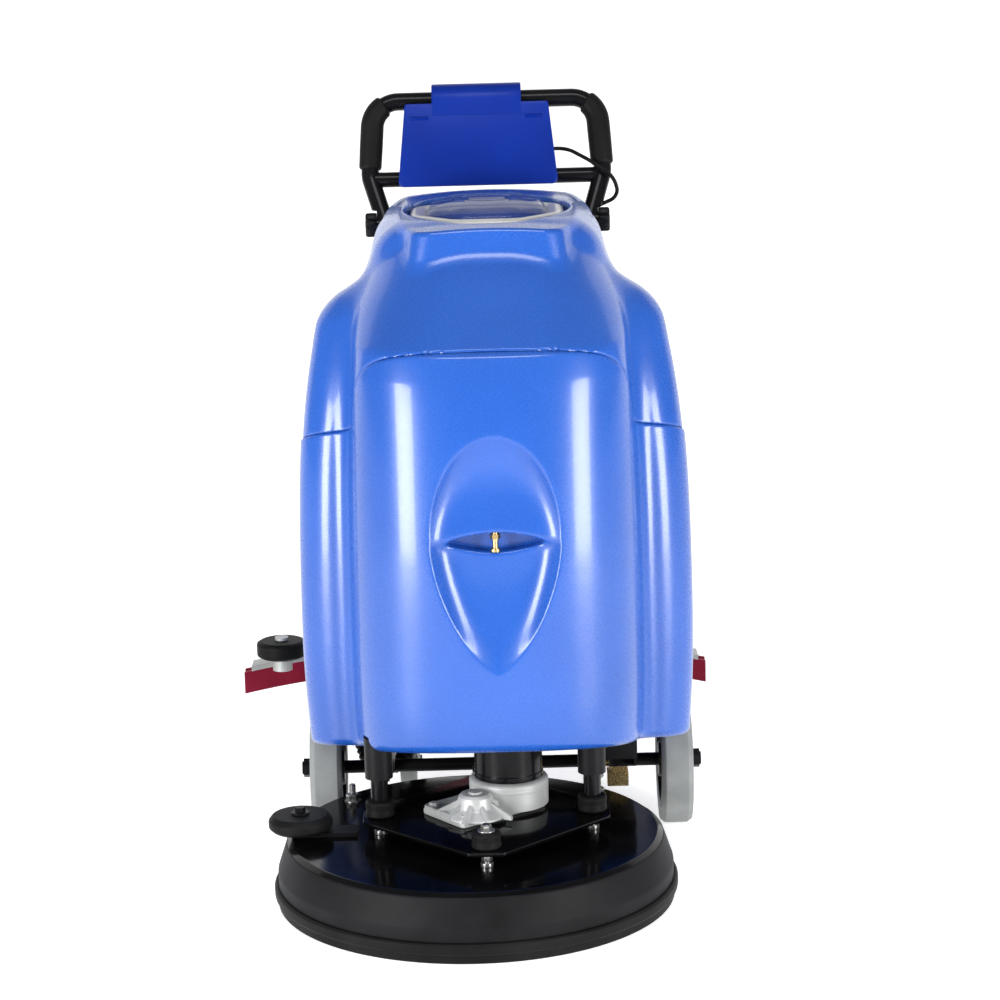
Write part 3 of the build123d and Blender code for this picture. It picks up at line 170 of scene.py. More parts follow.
MATERIALS = {
    "tank_blue": surface(
        "tank_plastic", (0.011, 0.076, 0.37), (0.015, 0.092, 0.43), (0.24, 0.32), 420.0, (0.16, 0.0004),
        blotch=5.0, Coat_Weight=0.35, Coat_Roughness=0.09,
    ),
    "panel_blue": surface(
        "panel_plastic", (0.002, 0.018, 0.20), (0.003, 0.024, 0.25), (0.30, 0.38), 500.0, (0.12, 0.0003),
        blotch=9.0, Specular_IOR_Level=0.14,
    ),
    "lid_grey": surface(
        "lid_frame", (0.42, 0.42, 0.40), (0.56, 0.56, 0.53), (0.18, 0.26), 300.0, (0.05, 0.0002)
    ),
    "frame_black": surface(
        "frame_paint", (0.003, 0.003, 0.0035), (0.006, 0.006, 0.007), (0.16, 0.26), 600.0, (0.10, 0.0002),
        Specular_IOR_Level=0.16,
    ),
    "chassis_black": surface(
        "chassis_paint", (0.003, 0.003, 0.0035), (0.008, 0.008, 0.009), (0.32, 0.46), 700.0, (0.18, 0.0003),
        Specular_IOR_Level=0.14,
    ),
    "deck_black": surface(
        "deck_paint", (0.001, 0.001, 0.0012), (0.003, 0.003, 0.0035), (0.08, 0.16), 500.0, (0.08, 0.0002),
        Specular_IOR_Level=0.16,
    ),
    "black_plastic": surface(
        "black_plastic", (0.004, 0.004, 0.0045), (0.010, 0.010, 0.011), (0.34, 0.46), 900.0, (0.25, 0.0003),
        Specular_IOR_Level=0.16,
    ),
    "battery_case": surface(
        "battery_case", (0.02, 0.02, 0.022), (0.04, 0.04, 0.044), (0.45, 0.6), 800.0, (0.3, 0.0003)
    ),
    "black_rubber": surface(
        "black_rubber", (0.004, 0.004, 0.004), (0.009, 0.009, 0.0088), (0.46, 0.62), 900.0, (0.35, 0.0003),
        Specular_IOR_Level=0.1,
    ),
    "red_rubber": surface(
        "red_rubber", (0.19, 0.006, 0.022), (0.27, 0.010, 0.036), (0.34, 0.5), 500.0, (0.15, 0.0003),
        Specular_IOR_Level=0.14,
    ),
    "tyre_grey": surface(
        "tyre_rubber", (0.20, 0.21, 0.205), (0.29, 0.30, 0.295), (0.5, 0.66), 700.0, (0.3, 0.0004),
        blotch=22.0,
    ),
    "cast_aluminium": surface(
        "cast_aluminium", (0.36, 0.37, 0.36), (0.58, 0.59, 0.58), (0.38, 0.56), 900.0, (0.45, 0.0005),
        metallic=0.35,
    ),
    "brass_fitting": surface(
        "brass", (0.52, 0.36, 0.15), (0.78, 0.60, 0.30), (0.2, 0.34), 600.0, (0.12, 0.00015),
        metallic=0.95,
    ),
    "zinc_steel": surface(
        "zinc_steel", (0.34, 0.34, 0.33), (0.62, 0.62, 0.60), (0.22, 0.36), 800.0, (0.2, 0.0002),
        metallic=0.95,
    ),
    "bristle_black": surface(
        "bristle_nylon", (0.008, 0.008, 0.010), (0.03, 0.03, 0.034), (0.4, 0.6), 350.0, (0.8, 0.002),
        stretch=(1, 1, 0.06),
    ),
    "button_green": surface(
        "button_green", (0.01, 0.22, 0.04), (0.02, 0.33, 0.07), (0.2, 0.3), 400.0, (0.05, 0.0002)
    ),
}


def glass():
    material = new_material(
        "lid_clear", (0.05, 0.09, 0.34), 0.06, Alpha=0.42, IOR=1.49, Specular_IOR_Level=0.35
    )
    haze = add_noise(material, 120.0, 3.0)
    vary_roughness(material, haze, 0.04, 0.12)
    material.surface_render_method = "DITHERED"
    return material


MATERIALS["lid_clear"] = glass()
SLOT_OF = {entry["node"]: entry["material_slot"] for entry in frame["record"]["subparts"]}

DARK_NODES = ("axle", "bumper_bracket")  # steel with a black finish

for name, node in frame["nodes"].items():
    node.data.materials.clear()
    node.data.materials.append(MATERIALS["chassis_black" if name in DARK_NODES else SLOT_OF[name]])


# ---- making pieces ----
WELD = 1e-6  # points closer than this, in metres, become one


def add_piece(name, mesh, slot, body, replaces, smooth_angle, material=None):
    """Shows a mesh as one piece of a body, in place of the CAD nodes that it replaces."""
    obj = bpy.data.objects.new(name, mesh)
    bpy.context.scene.collection.objects.link(obj)
    mesh.materials.clear()
    mesh.materials.append(material or MATERIALS[slot])
    for polygon in mesh.polygons:
        polygon.use_smooth = True
    mesh.set_sharp_from_angle(angle=math.radians(smooth_angle))
    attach(obj, body)
    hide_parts(*replaces)


def to_mesh(name, bm):
    bmesh.ops.remove_doubles(bm, verts=bm.verts, dist=WELD)
    bmesh.ops.recalc_face_normals(bm, faces=bm.faces)
    mesh = bpy.data.meshes.new(name)
    bm.to_mesh(mesh)
    bm.free()
    return mesh


def bevel_sharp(bm, width, angle=35.0, segments=3):
    """Rounds every edge that is sharper than the angle."""
    bmesh.ops.remove_doubles(bm, verts=bm.verts, dist=WELD)
    bmesh.ops.recalc_face_normals(bm, faces=bm.faces)
    limit = math.radians(angle)
    edges = [e for e in bm.edges if e.is_manifold and e.calc_face_angle(0.0) > limit]
    bmesh.ops.bevel(
        bm, geom=edges, offset=width * MM, segments=segments, profile=0.5, affect="EDGES", clamp_overlap=True
    )


def lathe(bm, profile, centre, axis="Z", steps=96):
    """Turns (radius, height) points about an axis, Z or X, through centre, all in mm."""
    rings = []
    for i in range(steps):
        a = 2 * math.pi * i / steps
        ring = []
        for r, h in profile:
            u, v = r * math.cos(a), r * math.sin(a)
            if axis == "Z":
                p = (centre[0] + u, centre[1] + v, centre[2] + h)
            else:
                p = (centre[0] + h, centre[1] + u, centre[2] + v)
            ring.append(bm.verts.new(place(*p)))
        rings.append(ring)
    for i, a in enumerate(rings):
        b = rings[(i + 1) % steps]
        for j in range(len(profile) - 1):
            quad = [a[j], b[j], b[j + 1], a[j + 1]]
            if profile[j][0] == 0:
                quad = [a[j], b[j + 1], a[j + 1]]
            elif profile[j + 1][0] == 0:
                quad = [a[j], b[j], a[j + 1]]
            bm.faces.new(quad)


def rounded(profile, radii, steps=5):
    """Rounds the corners of an open list of points; radii holds one radius or one per corner."""
    if not isinstance(radii, (list, tuple)):
        radii = [radii] * (len(profile) - 2)
    out = [Vector(profile[0])]
    for a, b, c, r in zip(profile, profile[1:], profile[2:], radii):
        a, b, c = Vector(a), Vector(b), Vector(c)
        u, v = (a - b), (c - b)
        turn = math.pi - u.angle(v)
        reach = min(r * math.tan(turn / 2), u.length * 0.49, v.length * 0.49)
        if turn < 0.02 or reach < 1e-4:
            out.append(b)
            continue
        p, q = b + u.normalized() * reach, b + v.normalized() * reach
        for i in range(steps + 1):
            t = i / steps
            out.append((1 - t) ** 2 * p + 2 * t * (1 - t) * b + t**2 * q)
    out.append(Vector(profile[-1]))
    return [tuple(p) for p in out]


def join_rings(bm, rings):
    """Faces between each ring of points and the next, all closed rings of equal length."""
    for a, b in zip(rings, rings[1:]):
        n = len(a)
        for i in range(n):
            bm.faces.new([a[i], a[(i + 1) % n], b[(i + 1) % n], b[i]])


def cap_ends(bm, rings):
    bm.faces.new(list(reversed(rings[0])))
    bm.faces.new(rings[-1])


def slab(bm, outline, z0, z1):
    """A plate from an outline of (x, y) points between two heights."""
    rings = [[bm.verts.new(place(x, y, z)) for x, y in outline] for z in (z0, z1)]
    join_rings(bm, rings)
    cap_ends(bm, rings)


def brick(bm, x0, x1, y0, y1, z0, z1):
    slab(bm, [(x0, y0), (x1, y0), (x1, y1), (x0, y1)], z0, z1)


def sweep_ring(bm, points, radii, sides, caps=True):
    """A tube round a line of points (mm), with one radius per point."""
    pts = [Vector(p) for p in points]
    tangents = []
    for i in range(len(pts)):
        tangents.append((pts[min(i + 1, len(pts) - 1)] - pts[max(i - 1, 0)]).normalized())
    up = Vector((0, 0, 1)) if abs(tangents[0].z) < 0.9 else Vector((1, 0, 0))
    side = tangents[0].cross(up).normalized()
    rings = []
    for p, t, r in zip(pts, tangents, radii):
        side = (side - t * side.dot(t)).normalized()
        other = t.cross(side)
        ring = []
        for k in range(sides):
            a = 2 * math.pi * k / sides
            q = p + (side * math.cos(a) + other * math.sin(a)) * r
            ring.append(bm.verts.new(place(*q)))
        rings.append(ring)
    join_rings(bm, rings)
    if caps:
        cap_ends(bm, rings)


def filleted(points, radii, steps=8):
    """A 3-D line of straight runs joined by true arcs."""
    out = [Vector(points[0])]
    for a, b, c, r in zip(points, points[1:], points[2:], radii):
        a, b, c = Vector(a), Vector(b), Vector(c)
        u, v = (a - b).normalized(), (c - b).normalized()
        half = u.angle(v) / 2
        reach = r / math.tan(half)
        middle = b + (u + v).normalized() * (r / math.sin(half))
        p, q = b + u * reach - middle, b + v * reach - middle
        whole = p.angle(q)
        for i in range(steps + 1):
            t = i / steps
            arm = (p * math.sin((1 - t) * whole) + q * math.sin(t * whole)) / math.sin(whole)
            out.append(middle + arm)
    out.append(Vector(points[-1]))
    return out


def resample(points, gap):
    """Evenly spaced points along a line."""
    pts = [Vector(p) for p in points]
    out = [pts[0]]
    left = gap
    for a, b in zip(pts, pts[1:]):
        run = (b - a).length
        at = left
        while at <= run:
            out.append(a + (b - a) * (at / run))
            at += gap
        left = at - run
    return out


# ---- the two tanks: one smooth form cut along the parting line ----
# Fields are distances in mm, negative inside, with x measured from the tanks' middle.
def spline(at, knots):
    """A natural cubic through (place, value) knots, straight beyond its ends."""
    t = np.array([k[0] for k in knots], float)
    v = np.array([k[1] for k in knots], float)
    n = len(t)
    h = np.diff(t)
    system = np.eye(n)
    bends = np.zeros(n)
    for i in range(1, n - 1):
        system[i, i - 1 : i + 2] = h[i - 1], 2 * (h[i - 1] + h[i]), h[i]
        bends[i] = 6 * ((v[i + 1] - v[i]) / h[i] - (v[i] - v[i - 1]) / h[i - 1])
    m = np.linalg.solve(system, bends)
    p = np.clip(at, t[0], t[-1])
    i = np.clip(np.searchsorted(t, p) - 1, 0, n - 2)
    a = (t[i + 1] - p) / h[i]
    b = 1 - a
    curve = a * v[i] + b * v[i + 1] + ((a**3 - a) * m[i] + (b**3 - b) * m[i + 1]) * h[i] ** 2 / 6
    low = (v[1] - v[0]) / h[0] - h[0] * m[1] / 6
    high = (v[-1] - v[-2]) / h[-1] + h[-1] * m[-2] / 6
    return curve + np.minimum(at - t[0], 0) * low + np.maximum(at - t[-1], 0) * high


def both(a, b, r):
    """Inside both fields, with the edge between them rounded."""
    return np.minimum(np.maximum(a, b), -r) + np.hypot(np.maximum(a + r, 0), np.maximum(b + r, 0))


def either(a, b, r):
    return -both(-a, -b, r)


def without(a, b, r):
    return both(a, -b, r)


def box_field(x, y, z, lo, hi, r):
    f = [np.abs(q - (a + b) / 2) - (b - a) / 2 for q, a, b in zip((x, y, z), lo, hi)]
    return both(both(f[0], f[1], r), f[2], r)


def oval_ring(u, v, n=2.0):
    """A superellipse of unit size as an approximate distance, given scaled places and their scales."""
    (s, a), (t, b) = u, v
    ring = np.maximum((s**n + t**n) ** (1 / n), 1e-3)
    steep = np.hypot(s ** (n - 1) / a, t ** (n - 1) / b) * ring ** (1 - n)
    return (ring - 1) / np.maximum(steep, 1e-4)


# The shells' curves as (height, value) knots: half widths, and the y of the faces in front.
HOOD_HALF = (
    (195, 202), (300, 206), (420, 206), (560, 204), (680, 200),
    (795, 195), (850, 187), (885, 173), (932, 158), (962, 132),
)
HOOD_SIDE = ((195, 75), (760, 75), (800, 92), (850, 190), (905, 280), (962, 310))
HOOD_FACE = (
    (195, -84), (240, -100), (330, -109), (450, -112), (600, -107), (700, -94), (795, -68), (870, -30),
)
SLOPE_FACE = ((700, -160), (795, -67), (850, -4), (905, 58), (962, 138))
FENDER_HALF = ((195, 277), (300, 283), (420, 284), (560, 281), (660, 275), (760, 262), (830, 247), (900, 226))
FENDER_FACE = ((195, 60), (350, 56), (500, 58), (640, 67), (740, 88), (820, 118), (880, 150))
NECK_HALF = ((640, 186), (800, 188), (850, 184), (885, 171), (932, 158), (975, 146))
# (y, height) knots along the machine's length.
PARTING = (
    (-200, 800), (-40, 791), (8, 746), (42, 690), (62, 674), (95, 659), (130, 648), (400, 625), (700, 600),
)
CROWN = ((60, 952), (120, 957), (250, 965), (400, 966), (580, 950))
RECESS_UPPER = ((545, 19), (600, 25), (650, 21), (688, 10))
RECESS_LOWER = ((355, 6), (420, 20), (480, 29), (537, 31))
TANK_REAR = 580
TANK_FLOOR = 195
LOW_REAR_Y = 120
FLOOR_SLOPE = 0.204  # how fast the shell's lower edge falls towards the front
BROW_FRONT = 67
BROW_LOW = 905
WALL = 12  # from the outer face to a hollow
RECESS_MID = 545.0
LEDGE_Z = 537.0
RECESS_TOP = 143.0
RECESS_DROP = 190.0
RECESS_HALF = 91.0


def recess_edge(x, z):
    """How far a place on the front is inside the egg-shaped recess."""
    up = np.clip((z - RECESS_MID) / RECESS_TOP, 0, None)
    down = np.clip((RECESS_MID - z) / RECESS_DROP, 0, None)
    upper = oval_ring((np.abs(x) / RECESS_HALF, RECESS_HALF), (up, RECESS_TOP))
    half = RECESS_HALF * np.clip(1 - down**1.7, 1e-3, None) ** 0.7
    lower = (np.abs(x) - half) * np.clip(1 - 0.55 * down**3, 0.3, 1)
    beyond = np.where(down > 1, (down - 1) * RECESS_DROP, -1e3)
    return -np.where(z > RECESS_MID, upper, np.maximum(lower, beyond))


def recess_depth(x, z):
    """A bowl with a ledge across it: the upper half is shallower than the lower."""
    inside = recess_edge(x, z)
    soft = 0.5 * (inside + np.sqrt(inside**2 + 1.0))
    reach = np.clip(soft / 64.0, 0, 1)
    bowl = 1 - (1 - reach) ** 4.0
    upper, lower = spline(z, RECESS_UPPER), spline(z, RECESS_LOWER)
    ledge = 1 / (1 + np.exp(-np.clip((z - LEDGE_Z) / 3.0, -40, 40)))
    return bowl * (upper * ledge + lower * (1 - ledge))


def hood_field(x, y, z):
    """The rounded front, which leans back as the upper slope."""
    face = np.maximum(spline(z, HOOD_FACE), spline(z, SLOPE_FACE))
    face = face + np.where(np.abs(x) < 100, recess_depth(x, z), 0) * (y < 40)
    half = spline(z, HOOD_HALF)
    side_y = np.interp(z, *zip(*HOOD_SIDE))
    reach = np.maximum(side_y - face, 10)
    return oval_ring((np.abs(x) / half, half), (np.maximum(side_y - y, 0) / reach, reach), 2.7)


def rear_wall(y):
    return y - TANK_REAR


def fender_field(x, y, z):
    """The wide body behind the hood, with shoulders that fall outwards and to the rear."""
    f = both(np.abs(x) - spline(z, FENDER_HALF), spline(z, FENDER_FACE) - y, 62)
    top = (z - 866 + 0.30 * (np.abs(x) - 200) + 0.20 * np.maximum(y - 160, 0)) * 0.94
    f = both(f, top, 42)
    return both(f, rear_wall(y), 55)


def neck_field(x, y, z):
    """The narrower block between the shoulders."""
    f = both(np.abs(x) - spline(z, NECK_HALF), 150 - 0.28 * (z - 800) - y, 70)
    return both(f, rear_wall(y), 55)


def crown(y):
    """The height of the tank's top along its length."""
    return spline(y, CROWN)


def brow_field(x, y, z):
    """The raised block under the lid: a near-vertical face with swept-back flanks."""
    up = z - BROW_LOW
    face = BROW_FRONT + 0.17 * up
    flank = (np.abs(x) - (107 - 0.22 * up) - 0.55 * (y - face)) * 0.86
    f = both(face - y, flank, 20)
    f = both(f, np.abs(x) - 128, 30)
    f = both(f, y - 300, 10)
    return both(f, 850 - z, 5)


def body_field(x, y, z):
    """Both tanks as one solid form."""
    hood = both(hood_field(x, y, z), y - 330, 10)
    f = either(hood, neck_field(x, y, z), 12)
    top = z - crown(y) + 0.0005 * x**2
    f = both(f, top, 34)
    f = either(f, fender_field(x, y, z), 26)
    f = either(f, both(brow_field(x, y, z), top + 1.5, 5), 11)
    floor = (TANK_FLOOR - z) + FLOOR_SLOPE * np.clip(LOW_REAR_Y - y, 0, 240)
    return both(f, floor, 11)


LID_HALF = 112
LID_FRONT = 122
LID_REAR = 352


def lid_edge(x, y):
    """The lid's outline: straight in front and behind, with long slanting corners."""
    front = both(LID_FRONT - y, (np.abs(x) - 84) * 0.76 + (160 - y) * 0.65, 22)
    rear = both(y - LID_REAR, (np.abs(x) - 90) * 0.71 + (y - 328) * 0.70, 30)
    return both(both(np.abs(x) - LID_HALF, front, 34), rear, 34)


def lid_well(x, y, z):
    """The hollow that the lid lies in, with room for its strap."""
    f = both(lid_edge(x, y) - 8, 938 - z, 4)
    strap = box_field(x, y, z, (-50, 250, 938), (50, 375, 1000), 5)
    return either(f, strap, 2)


def parting(y, z):
    """The distance above the line between the tanks."""
    steep = np.hypot(1, (spline(y + 1, PARTING) - spline(y - 1, PARTING)) / 2)
    return (z - spline(y, PARTING)) / steep


WHEEL_Y = 310
WHEEL_R = 98
WELL_R = 112
WELL_IN = 231
CARRIER = (17.0, -5.0)  # the middle of the deck's carrier plate
STUD_REACH = 152.0
SLEEVE_R = 20.6  # the hanger sleeves' and the guide columns' holes in the shell
COLUMN_R = 15.2
SLOT_Z = 537.5
SLOT_HALF, SLOT_TALL = 68.0, 15.0
FILL_X, FILL_Z = -110, 480
SPIGOT_X, SPIGOT_Z = 130, 720


def battery_bay(x, y, z):
    return box_field(x, y, z, (-182, 106, 212), (182, 444, 1000), 10)


def motor_bay(f, x, y, z):
    """Cuts the hollow for the brush motor and the holes for the two columns that guide the deck."""
    f = without(f, box_field(x, y, z, (-62 - BODY_X, -72, 0), (132 - BODY_X, 88, 345), 12), 5)
    for side in (-1, 1):
        middle = np.hypot(x - CARRIER[0] - side * STUD_REACH + BODY_X, y - CARRIER[1])
        f = without(f, both(middle - SLEEVE_R, z - 242, 1), 1.5)
        f = without(f, both(middle - COLUMN_R, z - 333, 2), 1)
    return f


def fill_neck(f, x, y, z):
    axis = np.hypot(x - FILL_X + BODY_X, z - FILL_Z)
    f = either(f, both(both(axis - 32, y - 590, 2), 540 - y, 2), 4)
    return without(f, both(axis - 26, 520 - y, 2), 2)


def solution_field(x, y, z):
    """The lower tank: below the parting line, with its bays, wheel wells, slot and fill neck."""
    f = both(body_field(x, y, z), parting(y, z), 3)
    f = motor_bay(f, x, y, z)
    f = without(f, battery_bay(x, y, z), 6)
    wheel = np.hypot(y - WHEEL_Y, z - WHEEL_R) - WELL_R
    f = without(f, both(wheel, WELL_IN - np.abs(x), 6), 6)
    arm_tunnel = box_field(x, y, z, (-62 - BODY_X, 456, 0), (62 - BODY_X, 700, 260), 12)
    f = without(f, arm_tunnel, 6)
    rear_corner = both(both(212 - np.abs(x), 524 - y, 14), z - 250, 14)
    f = without(f, rear_corner, 6)
    slot = oval_ring((np.abs(x) / SLOT_HALF, SLOT_HALF), (np.abs(z - SLOT_Z) / SLOT_TALL, SLOT_TALL), 1.55)
    f = without(f, both(slot, y + 58, 3), 3.5)
    return fill_neck(f, x, y, z)


def spigot(f, x, y, z):
    """The inlet for the suction hose, at the back of the upper tank."""
    axis = np.hypot(x + BODY_X - SPIGOT_X, z - SPIGOT_Z)
    f = either(f, both(both(axis - 22, y - 606, 2), 540 - y, 2), 6)
    return without(f, both(axis - 18, 500 - y, 1), 1)


def recovery_field(x, y, z):
    """The upper tank: above the parting line, hollow, open under the lid, with hinge lugs and an inlet."""
    body = body_field(x, y, z)
    f = body + 2.6 * np.clip((y + 5) / 50, 0, 1) * np.clip((860 - z) / 90, 0, 1)
    f = both(f, 0.6 - parting(y, z), 1.6)
    f = without(f, lid_well(x, y, z), 4)
    wall = both(body + WALL, WALL - parting(y, z), 6)
    inside = both(both(wall, y - 395, 12), np.maximum(z - 928, 40 - y), 8)
    mouth = oval_ring((np.abs(x) / 88.0, 88.0), (np.abs(y - 250) / 80.0, 80.0), 2.2)
    mouth = both(mouth, 900 - z, 2)
    f = without(f, either(inside, mouth, 4), 3)
    motor_room = both(both(body + WALL, 410 - y, 8), np.maximum(z - 925, y - 568), 8)
    f = without(f, motor_room, 3)
    for side in (-1, 1):
        lug = box_field(x, y, z, (side * 41 - 8, 358, 930), (side * 41 + 8, 376, 961), 3)
        f = either(f, lug, 2)
    return spigot(f, x, y, z)


NEAR = 2.4  # how many coarse steps from the surface the fine samples reach
BATCH = 1500000  # fine samples worked out at a time


def near_surface(field, lo, hi, coarse, fine):
    """Samples a field on a fine grid, exactly near the surface and roughly elsewhere."""
    n = [int(math.ceil((b - a) / coarse)) for a, b in zip(lo, hi)]
    k = int(round(coarse / fine))
    axes = [a + coarse * (np.arange(m) + 0.5) - fine / 2 for a, m in zip(lo, n)]
    rough = field(*np.meshgrid(*axes, indexing="ij")).astype(np.float32)
    whole = np.repeat(np.repeat(np.repeat(rough, k, 0), k, 1), k, 2)
    cells = np.argwhere(np.abs(rough) < coarse * NEAR)
    steps = np.stack(np.meshgrid(*[np.arange(k)] * 3, indexing="ij"), -1).reshape(-1, 3)
    for part in np.array_split(cells, max(1, len(cells) * k**3 // BATCH)):
        index = (part[:, None, :] * k + steps[None]).reshape(-1, 3)
        spots = np.array(lo, float) + index * fine
        whole[index[:, 0], index[:, 1], index[:, 2]] = field(spots[:, 0], spots[:, 1], spots[:, 2])
    return whole


def gradient(field, p, step=0.4):
    parts = []
    for axis in range(3):
        d = np.zeros(3)
        d[axis] = step
        parts.append((field(*(p + d).T) - field(*(p - d).T)) / (2 * step))
    return np.stack(parts, 1)


def slope_step(field, points, longest):
    """The step from each point to the surface along the field's slope, at most so long."""
    slope = gradient(field, points)
    size = np.maximum((slope**2).sum(1), 0.05)
    step = -slope * (field(*points.T) / size)[:, None]
    length = np.linalg.norm(step, axis=1, keepdims=True)
    return step * np.minimum(1, longest / np.maximum(length, 1e-9))


def field_mesh(field, lo, hi, coarse, fine):
    """Surface nets: one point in each cell that the surface crosses, pulled on to the surface."""
    f = near_surface(field, lo, hi, coarse, fine)
    inside = f < 0
    shape = np.array(f.shape) - 1
    corners = [inside[i : shape[0] + i, j : shape[1] + j, k : shape[2] + k]
               for i in (0, 1) for j in (0, 1) for k in (0, 1)]
    count = np.zeros(shape, np.uint8)
    for c in corners:
        count += c
    crossed = (count > 0) & (count < 8)
    ids = np.full(shape, -1, np.int64)
    cells = np.argwhere(crossed)
    ids[crossed] = np.arange(len(cells))
    quads = []
    for axis in range(3):
        u, v = [other for other in range(3) if other != axis]
        start = [slice(1, None)] * 3
        start[axis] = slice(0, -1)
        here = inside[tuple(start)]
        change = here != inside[1:, 1:, 1:]
        spots = np.argwhere(change)
        spots[:, [u, v]] += 1
        flip = here[change]
        around = []
        for du, dv in ((-1, -1), (0, -1), (0, 0), (-1, 0)):
            cell = spots.copy()
            cell[:, u] += du
            cell[:, v] += dv
            ok = np.all((cell >= 0) & (cell < shape), 1)
            found = np.full(len(cell), -1)
            found[ok] = ids[tuple(cell[ok].T)]
            around.append(found)
        quad = np.stack(around, 1)
        good = np.all(quad >= 0, 1)
        quad, flip = quad[good], flip[good]
        turn = flip if axis != 1 else ~flip
        quad[~turn] = quad[~turn][:, ::-1]
        quads.append(quad)
    faces = np.concatenate(quads)
    points = np.array(lo, float) + (cells + 0.5) * fine
    centre = points.copy()
    for _ in range(5):
        points = points + slope_step(field, points, fine)
        points = np.clip(points, centre - fine * 0.8, centre + fine * 0.8)
    return points, faces


def relax(points, faces, field, rounds=3):
    """Evens out the points along the surface and puts them back on it."""
    edges = np.concatenate([faces[:, [0, 1]], faces[:, [1, 2]], faces[:, [2, 3]], faces[:, [3, 0]]])
    n = len(points)
    degree = np.bincount(edges.ravel(), minlength=n)[:, None]
    for _ in range(rounds):
        total = np.zeros_like(points)
        for axis in range(3):
            total[:, axis] = np.bincount(edges[:, 0], points[edges[:, 1], axis], n)
            total[:, axis] += np.bincount(edges[:, 1], points[edges[:, 0], axis], n)
        points = 0.5 * points + 0.5 * total / degree
        for _ in range(2):
            points = points + slope_step(field, points, 2.0)
    return points


def tank(name, field, lo, hi, body, node):
    """One tank's shell from its field, sampled between two corners."""
    fine = 3.0
    points, faces = field_mesh(field, lo, hi, 4 * fine, fine)
    points = relax(points, faces, field)
    points = points + np.array([BODY_X, 0, 0])
    points = points * MM + np.array([0, DECK_Y, 0])
    mesh = bpy.data.meshes.new(name)
    mesh.from_pydata(points.tolist(), [], faces.tolist())
    mesh.update()
    bm = bmesh.new()
    bm.from_mesh(mesh)
    bmesh.ops.recalc_face_normals(bm, faces=bm.faces)
    bm.to_mesh(mesh)
    bm.free()
    add_piece(name, mesh, "tank_blue", body, [node], 60)


tank("lower_tank", solution_field, (-300, -126, 186), (300, 606, 816), "chassis", "solution_tank")
tank("upper_tank", recovery_field, (-300, -96, 594), (300, 618, 978), "recovery", "recovery_tank")
# ---- softened edges on the CAD nodes that are shown as they are ----
REPLACED = {
    "lid_rim", "panel_cover", "grip_left", "grip_right", "star_knob_left", "star_knob_right",
    "drive_tyre_left", "drive_tyre_right", "deck_cover", "deck_skirt", "deck_fasteners", "deck_buffers",
    "gearbox", "brush_motor", "deck_bumper", "drain_hose", "squeegee_roller_left", "squeegee_roller_right",
    "brush_bristles", "solution_tank", "recovery_tank", "carrier_plate",
}
PLAIN_EDGE = 0.8
EDGE_WIDTHS = {
    "handle_frame": 0, "cable": 0, "lid_dome": 0, "brush_disc": 0, "axle": 0.6, "batteries": 3,
    "console_housing": 4, "squeegee_body": 1.5, "chassis_rails": 2, "chassis_plate": 1.5, "chassis_cross": 2,
    "squeegee_arm": 1.5, "squeegee_yoke": 1.5, "blade_front": 0.6, "blade_rear": 0.6, "blade_clamp": 0.5,
}
for name, node in frame["nodes"].items():
    width = EDGE_WIDTHS.get(name, PLAIN_EDGE)
    if name not in REPLACED and width:
        soften = node.modifiers.new("soft_edges", "BEVEL")
        soften.width = width * MM
        soften.segments = 3
        soften.limit_method = "ANGLE"
        soften.angle_limit = math.radians(38)
        soften.harden_normals = True


# ---- lid ----
RIM_Z0, RIM_Z1 = 943.0, 957.0
HINGE_Y, HINGE_Z = 366, 956
STRAP_HALF = 27
PANE_INSET = 24.5  # from the rim's outline to the clear pane's edge
PANE_Z0, PANE_Z1 = 950, 953
DOME_REACH = 58
DOME_RISE = 24


def lid_outline(inset, steps=8):
    """The lid's rounded outline: straight in front, slanting at the corners."""
    half, front, rear = LID_HALF - inset, LID_FRONT + inset, LID_REAR - inset
    corner, back = 52 - 0.35 * inset, 60 - 0.35 * inset
    loop = [
        (0, front), (corner, front), (half, 193 + 0.3 * inset), (half, 306 - 0.3 * inset), (back, rear),
        (-back, rear), (-half, 306 - 0.3 * inset), (-half, 193 + 0.3 * inset), (-corner, front), (0, front),
    ]
    turn = rounded(loop, [26, 42, 42, 40, 40, 42, 42, 26], steps)[:-1]
    return [(BODY_X + x, y) for x, y in turn]


def stacked(bm, levels):
    """Joins outlines of equal length, each given with its height, into one skin."""
    rings = [[bm.verts.new(place(x, y, z)) for x, y in outline] for outline, z in levels]
    join_rings(bm, rings)
    return rings


def closed_band(bm, levels):
    """A band with a closed section: the last outline is joined to the first."""
    rings = stacked(bm, levels)
    join_rings(bm, [rings[-1], rings[0]])


def merge(bm, other):
    """Adds another mesh's faces to bm and frees it."""
    mesh = bpy.data.meshes.new("merged")
    other.to_mesh(mesh)
    other.free()
    bm.from_mesh(mesh)
    bpy.data.meshes.remove(mesh)


